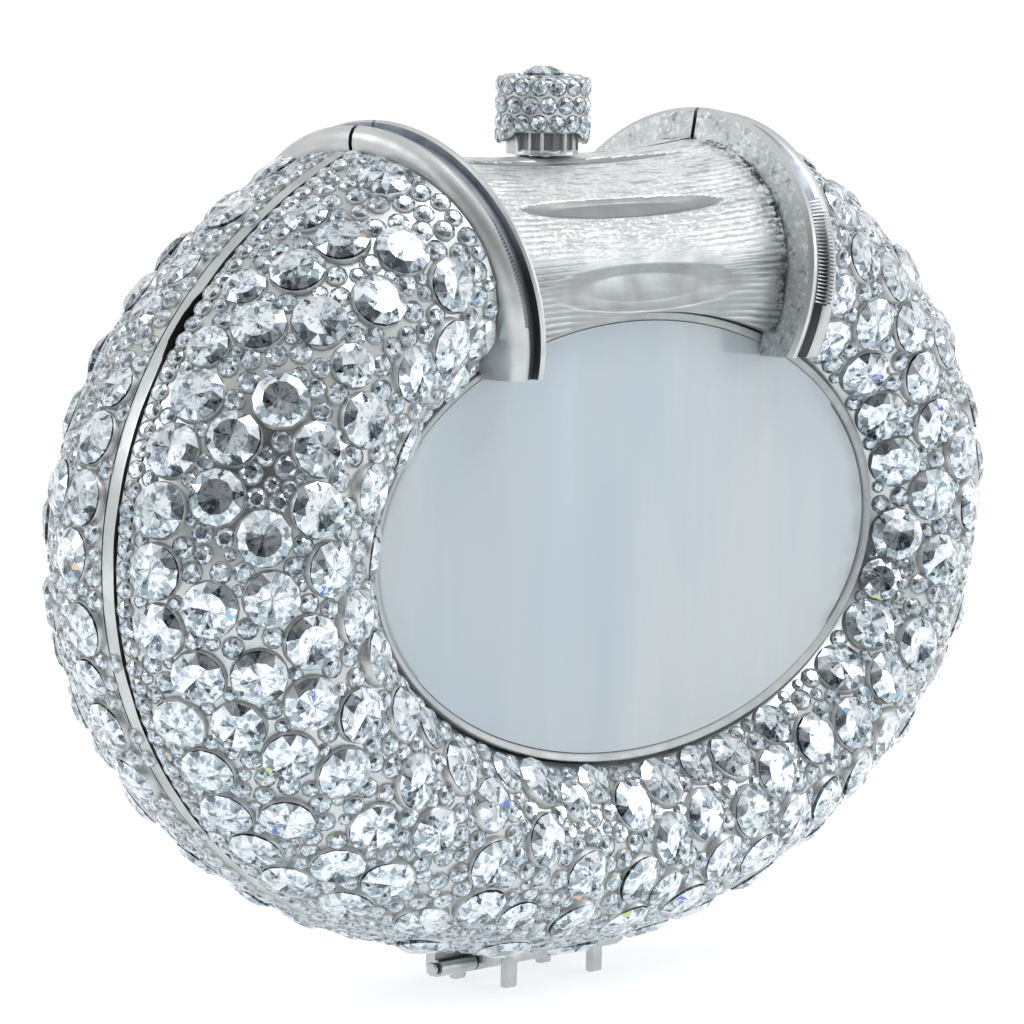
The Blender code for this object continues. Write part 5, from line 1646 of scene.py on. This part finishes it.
class CLUTCH_OT_make_knob(Operator):
    """Make the crystal-set cap and the cone crystal on top."""

    bl_idname = "clutch.make_knob"
    bl_label = "Make Knob"

    def execute(self, context):
        settings = paving()
        chance = random.Random(settings.seed + 1)
        self.make_cup()
        cuts = crystal_cuts("knob cut ", SMALL_LEVELS, count=8, dark_share=KNOB_DARK_SHARE)
        cup = cup_mesh("knob cup", SMALL_CUP, steps=12)
        gems = bmesh.new()
        cups = bmesh.new()
        for place, out, reach in self.stones(settings.knob_radius):
            cut = chance.choice(cuts)
            spin = chance.uniform(-KNOB_SPIN, KNOB_SPIN)
            transformed_copy(gems, cut, stone_matrix(place, out, reach, spin))
            transformed_copy(cups, cup, stone_matrix(place, out, reach, 0.0))
        piece = finish_piece("cap_crystals", gems, ["fine_crystal"], "knob", ["knob_cap"])
        add_sparks(piece, chance, LARGE_SPARK_SHARE)
        finish_piece("cap_settings", cups, ["bed"], "knob", ["knob_cap"], math.radians(40.0))
        low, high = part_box("knob_crystal")
        top_cut = crystal_cuts("top cut ", TOP_LEVELS, count=1, dark_share=KNOB_DARK_SHARE)[0]
        top_gem = bmesh.new()
        transformed_copy(top_gem, top_cut, stone_matrix(UPWARD * low.z, UPWARD, high.x, 0.0))
        piece = finish_piece("top_crystal", top_gem, ["crystal"], "knob", ["knob_crystal"])
        add_sparks(piece, chance, TOP_SPARK_SHARE)
        return {"FINISHED"}

    def make_cup(self):
        """Make the cap that the knob's crystals stand on, with its two skirts."""
        wide, top = CAP_HIGH.x, CAP_HIGH.z
        base = top - CAP_HEIGHT
        outline = (
            (0.0, top - 0.0014), (wide - CAP_WALL, top - 0.0014), (wide - CAP_WALL, base + 0.0001),
            (wide - CAP_WALL * 0.5, base), (wide - 0.0004, base + 0.0001), (wide - 0.0003, base + 0.0004),
            (wide - 0.0003, top - 0.0006), (wide - 0.0007, top - 0.0001), (0.0, top),
        )
        shape = spun([(radius, 0.0, height) for radius, height in outline], False, (0.0, 0.0, 1.0), 96)
        tidy_normals(shape)
        for vertex in shape.verts:
            if vertex.co.z < base + 0.0006:
                vertex.co.z -= skirt_drop(math.atan2(vertex.co.y, vertex.co.x))
        finish_piece("cap_cup", shape, ["bed"], "knob", ["knob_cap"], math.radians(35.0))

    def stones(self, radius):
        """Place, direction and radius of every crystal on the cap: rows round it, its skirts and its top."""
        made = []
        wide, top = CAP_HIGH.x, CAP_HIGH.z
        base = top - CAP_HEIGHT
        girdle = wide - 0.0004
        count = int(FULL_TURN * wide / (2 * radius * KNOB_SPACING))
        step = CAP_HEIGHT / CAP_ROWS
        for row in range(CAP_ROWS):
            for i in range(count):
                out = turned_out(FULL_TURN * (i + 0.5 * (row % 2)) / count)
                made.append((out * girdle + UPWARD * (base + step * (row + 0.5)), out, radius))
        for i in range(count):
            angle = FULL_TURN * (i + 0.5) / count
            drop = skirt_drop(angle)
            if drop > SKIRT_DROP * SKIRT_SHARE:
                out = turned_out(angle)
                place = out * girdle + UPWARD * (base - drop + radius * SKIRT_RISE)
                made.append((place, out, radius * SKIRT_SIZE))
        ring = wide - 0.0017
        count = int(FULL_TURN * ring / (2 * radius * KNOB_SPACING))
        for i in range(count):
            made.append((turned_out(FULL_TURN * i / count) * ring + UPWARD * (top - 0.0003), UPWARD, radius))
        return made


def turned_out(angle):
    return Vector((math.cos(angle), math.sin(angle), 0.0))


WHITE = (1.0, 1.0, 1.0, 1.0)
FLOOR_GLOW = 0.62

# Dark card at the camera: its least light, and the cosines of the angles off the view where it fades out and
# where it is darkest. Then the range of the walls' light, and the lamps by name, place, size and power share
CARD_LEVEL = 0.03
CARD_EDGE = (0.59, 0.83)
WALL_LEVELS = (0.62, 1.05)
LAMPS = (
    ("key_lamp", (0.15, -0.35, 0.95), 0.55, 1.0), ("side_lamp", (0.80, -0.65, 0.35), 0.40, 0.6),
    ("rim_lamp", (-0.75, 0.45, 0.55), 0.40, 0.5),
)


class CLUTCH_OT_set_stage(Operator):
    """Set the floor, the soft studio light and the camera."""

    bl_idname = "clutch.set_stage"
    bl_label = "Set Stage"

    def execute(self, context):
        settings = studio()
        scene = context.scene
        scene.view_settings.view_transform = "Standard"
        place, right, up, forward = camera_axes()
        data = bpy.data.cameras.new("camera")
        data.sensor_width = SENSOR_WIDTH
        data.lens = settings.focal_pixels * SENSOR_WIDTH / FRAME_PIXELS
        data.clip_end = 100.0
        camera = add_object("camera", data)
        camera.matrix_world = Matrix.Translation(place) @ Matrix((right, up, -forward)).transposed().to_4x4()
        scene.camera = camera
        self.make_floor(settings)
        self.make_room(settings)
        self.make_lamps(settings)
        return {"FINISHED"}

    def make_floor(self, settings):
        """Pale floor that glows a little for the camera and in mirrors."""
        shape = bmesh.new()
        bmesh.ops.create_grid(shape, x_segments=8, y_segments=8, size=12.0)
        floor = add_object("floor", mesh_of("floor", shape))
        made, tree, shader, place = start_material("pale floor", Roughness=0.9, Emission_Color=WHITE)
        colour = settings.floor_colour
        tint = mix_colours(tree, noise(tree, place, 3.0, 2.0), shade(colour, 1.0), shade(colour, 0.98))
        feed(shader["Base Color"], tint)
        rays = add_node(tree, "LightPath").outputs
        feed(shader["Emission Strength"], calculate(tree, "MULTIPLY", self.seen_flag(tree, rays), FLOOR_GLOW))
        floor.data.materials.append(made)

    def seen_flag(self, tree, rays):
        """1 for camera, mirror and see-through rays."""
        near = calculate(tree, "MAXIMUM", rays["Is Camera Ray"], rays["Is Glossy Ray"])
        return calculate(tree, "MAXIMUM", near, rays["Is Transmission Ray"])

    def make_room(self, settings):
        """White room, with a soft dark card in front of the object that only its mirror surfaces show."""
        world = bpy.data.worlds.new("room")
        bpy.context.scene.world = world
        world.use_nodes = True
        tree = world.node_tree
        rays = add_node(tree, "LightPath").outputs
        coordinates = add_node(tree, "TexCoord").outputs["Generated"]
        towards = (camera_axes()[0] - RING_MIDDLE).normalized()
        facing = add_node(tree, "VectorMath", {0: coordinates, 1: towards}, operation="DOT_PRODUCT")
        card = spread(tree, facing.outputs["Value"], 1.0, CARD_LEVEL, CARD_EDGE)
        walls = spread(tree, noise(tree, coordinates, 2.2, 2.0), *WALL_LEVELS, (0.35, 0.60))
        mirrored = calculate(tree, "MULTIPLY", card, walls)
        direct = calculate(tree, "MAXIMUM", rays["Is Camera Ray"], rays["Is Transmission Ray"])
        white = add_node(tree, "Mix", {0: direct, 2: mirrored, 3: 1.0}).outputs[0]
        level = {0: self.seen_flag(tree, rays), 2: settings.sky_light, 3: white}
        background = tree.nodes["Background"].inputs
        feed(background["Strength"], add_node(tree, "Mix", level).outputs[0])
        feed(background["Color"], WHITE)

    def make_lamps(self, settings):
        """Three soft lamps: above, on the right and behind on the left."""
        for name, place, size, share in LAMPS:
            data = bpy.data.lights.new(name, "AREA")
            data.shape = "SQUARE"
            data.size = size
            data.energy = settings.lamp_power * share
            lamp = add_object(name, data)
            lamp.location = place
            lamp.rotation_euler = (RING_MIDDLE - Vector(place)).to_track_quat("-Z", "Y").to_euler()


class CLUTCH_PT_sidebar(Panel):
    """Settings and steps of the clutch."""

    bl_label = "Evening Clutch"
    bl_idname = "CLUTCH_PT_sidebar"
    bl_space_type = "VIEW_3D"
    bl_region_type = "UI"
    bl_category = "Clutch"

    def draw(self, context):
        layout = self.layout
        for settings in (paving(), metal(), panels(), studio()):
            box = layout.box()
            for name in settings.__annotations__:
                box.prop(settings, name)
        for step in STEPS:
            layout.operator(step.bl_idname)


GROUPS = (
    ("clutch_paving", ClutchPavingSettings), ("clutch_metal", ClutchMetalSettings),
    ("clutch_panels", ClutchPanelSettings), ("clutch_stage", ClutchStageSettings),
)
STEPS = (
    CLUTCH_OT_set_stage, CLUTCH_OT_pave_beds, CLUTCH_OT_make_rims, CLUTCH_OT_make_panels, CLUTCH_OT_make_bezels,
    CLUTCH_OT_make_spools, CLUTCH_OT_make_flanges, CLUTCH_OT_ease_fittings, CLUTCH_OT_make_knob,
)


def register():
    for _, group in GROUPS:
        bpy.utils.register_class(group)
    for name, group in GROUPS:
        setattr(bpy.types.Scene, name, PointerProperty(type=group))
    for step in (*STEPS, CLUTCH_PT_sidebar):
        bpy.utils.register_class(step)


def unregister():
    for step in reversed((*STEPS, CLUTCH_PT_sidebar)):
        bpy.utils.unregister_class(step)
    for name, _ in GROUPS:
        delattr(bpy.types.Scene, name)
    for _, group in reversed(GROUPS):
        bpy.utils.unregister_class(group)


def main():
    register()
    bpy.ops.clutch.set_stage()
    bpy.ops.clutch.pave_beds()
    bpy.ops.clutch.make_rims()
    bpy.ops.clutch.make_panels()
    bpy.ops.clutch.make_bezels()
    bpy.ops.clutch.make_spools()
    bpy.ops.clutch.make_flanges()
    bpy.ops.clutch.ease_fittings()
    bpy.ops.clutch.make_knob()


if __name__ == "__main__":
    main()
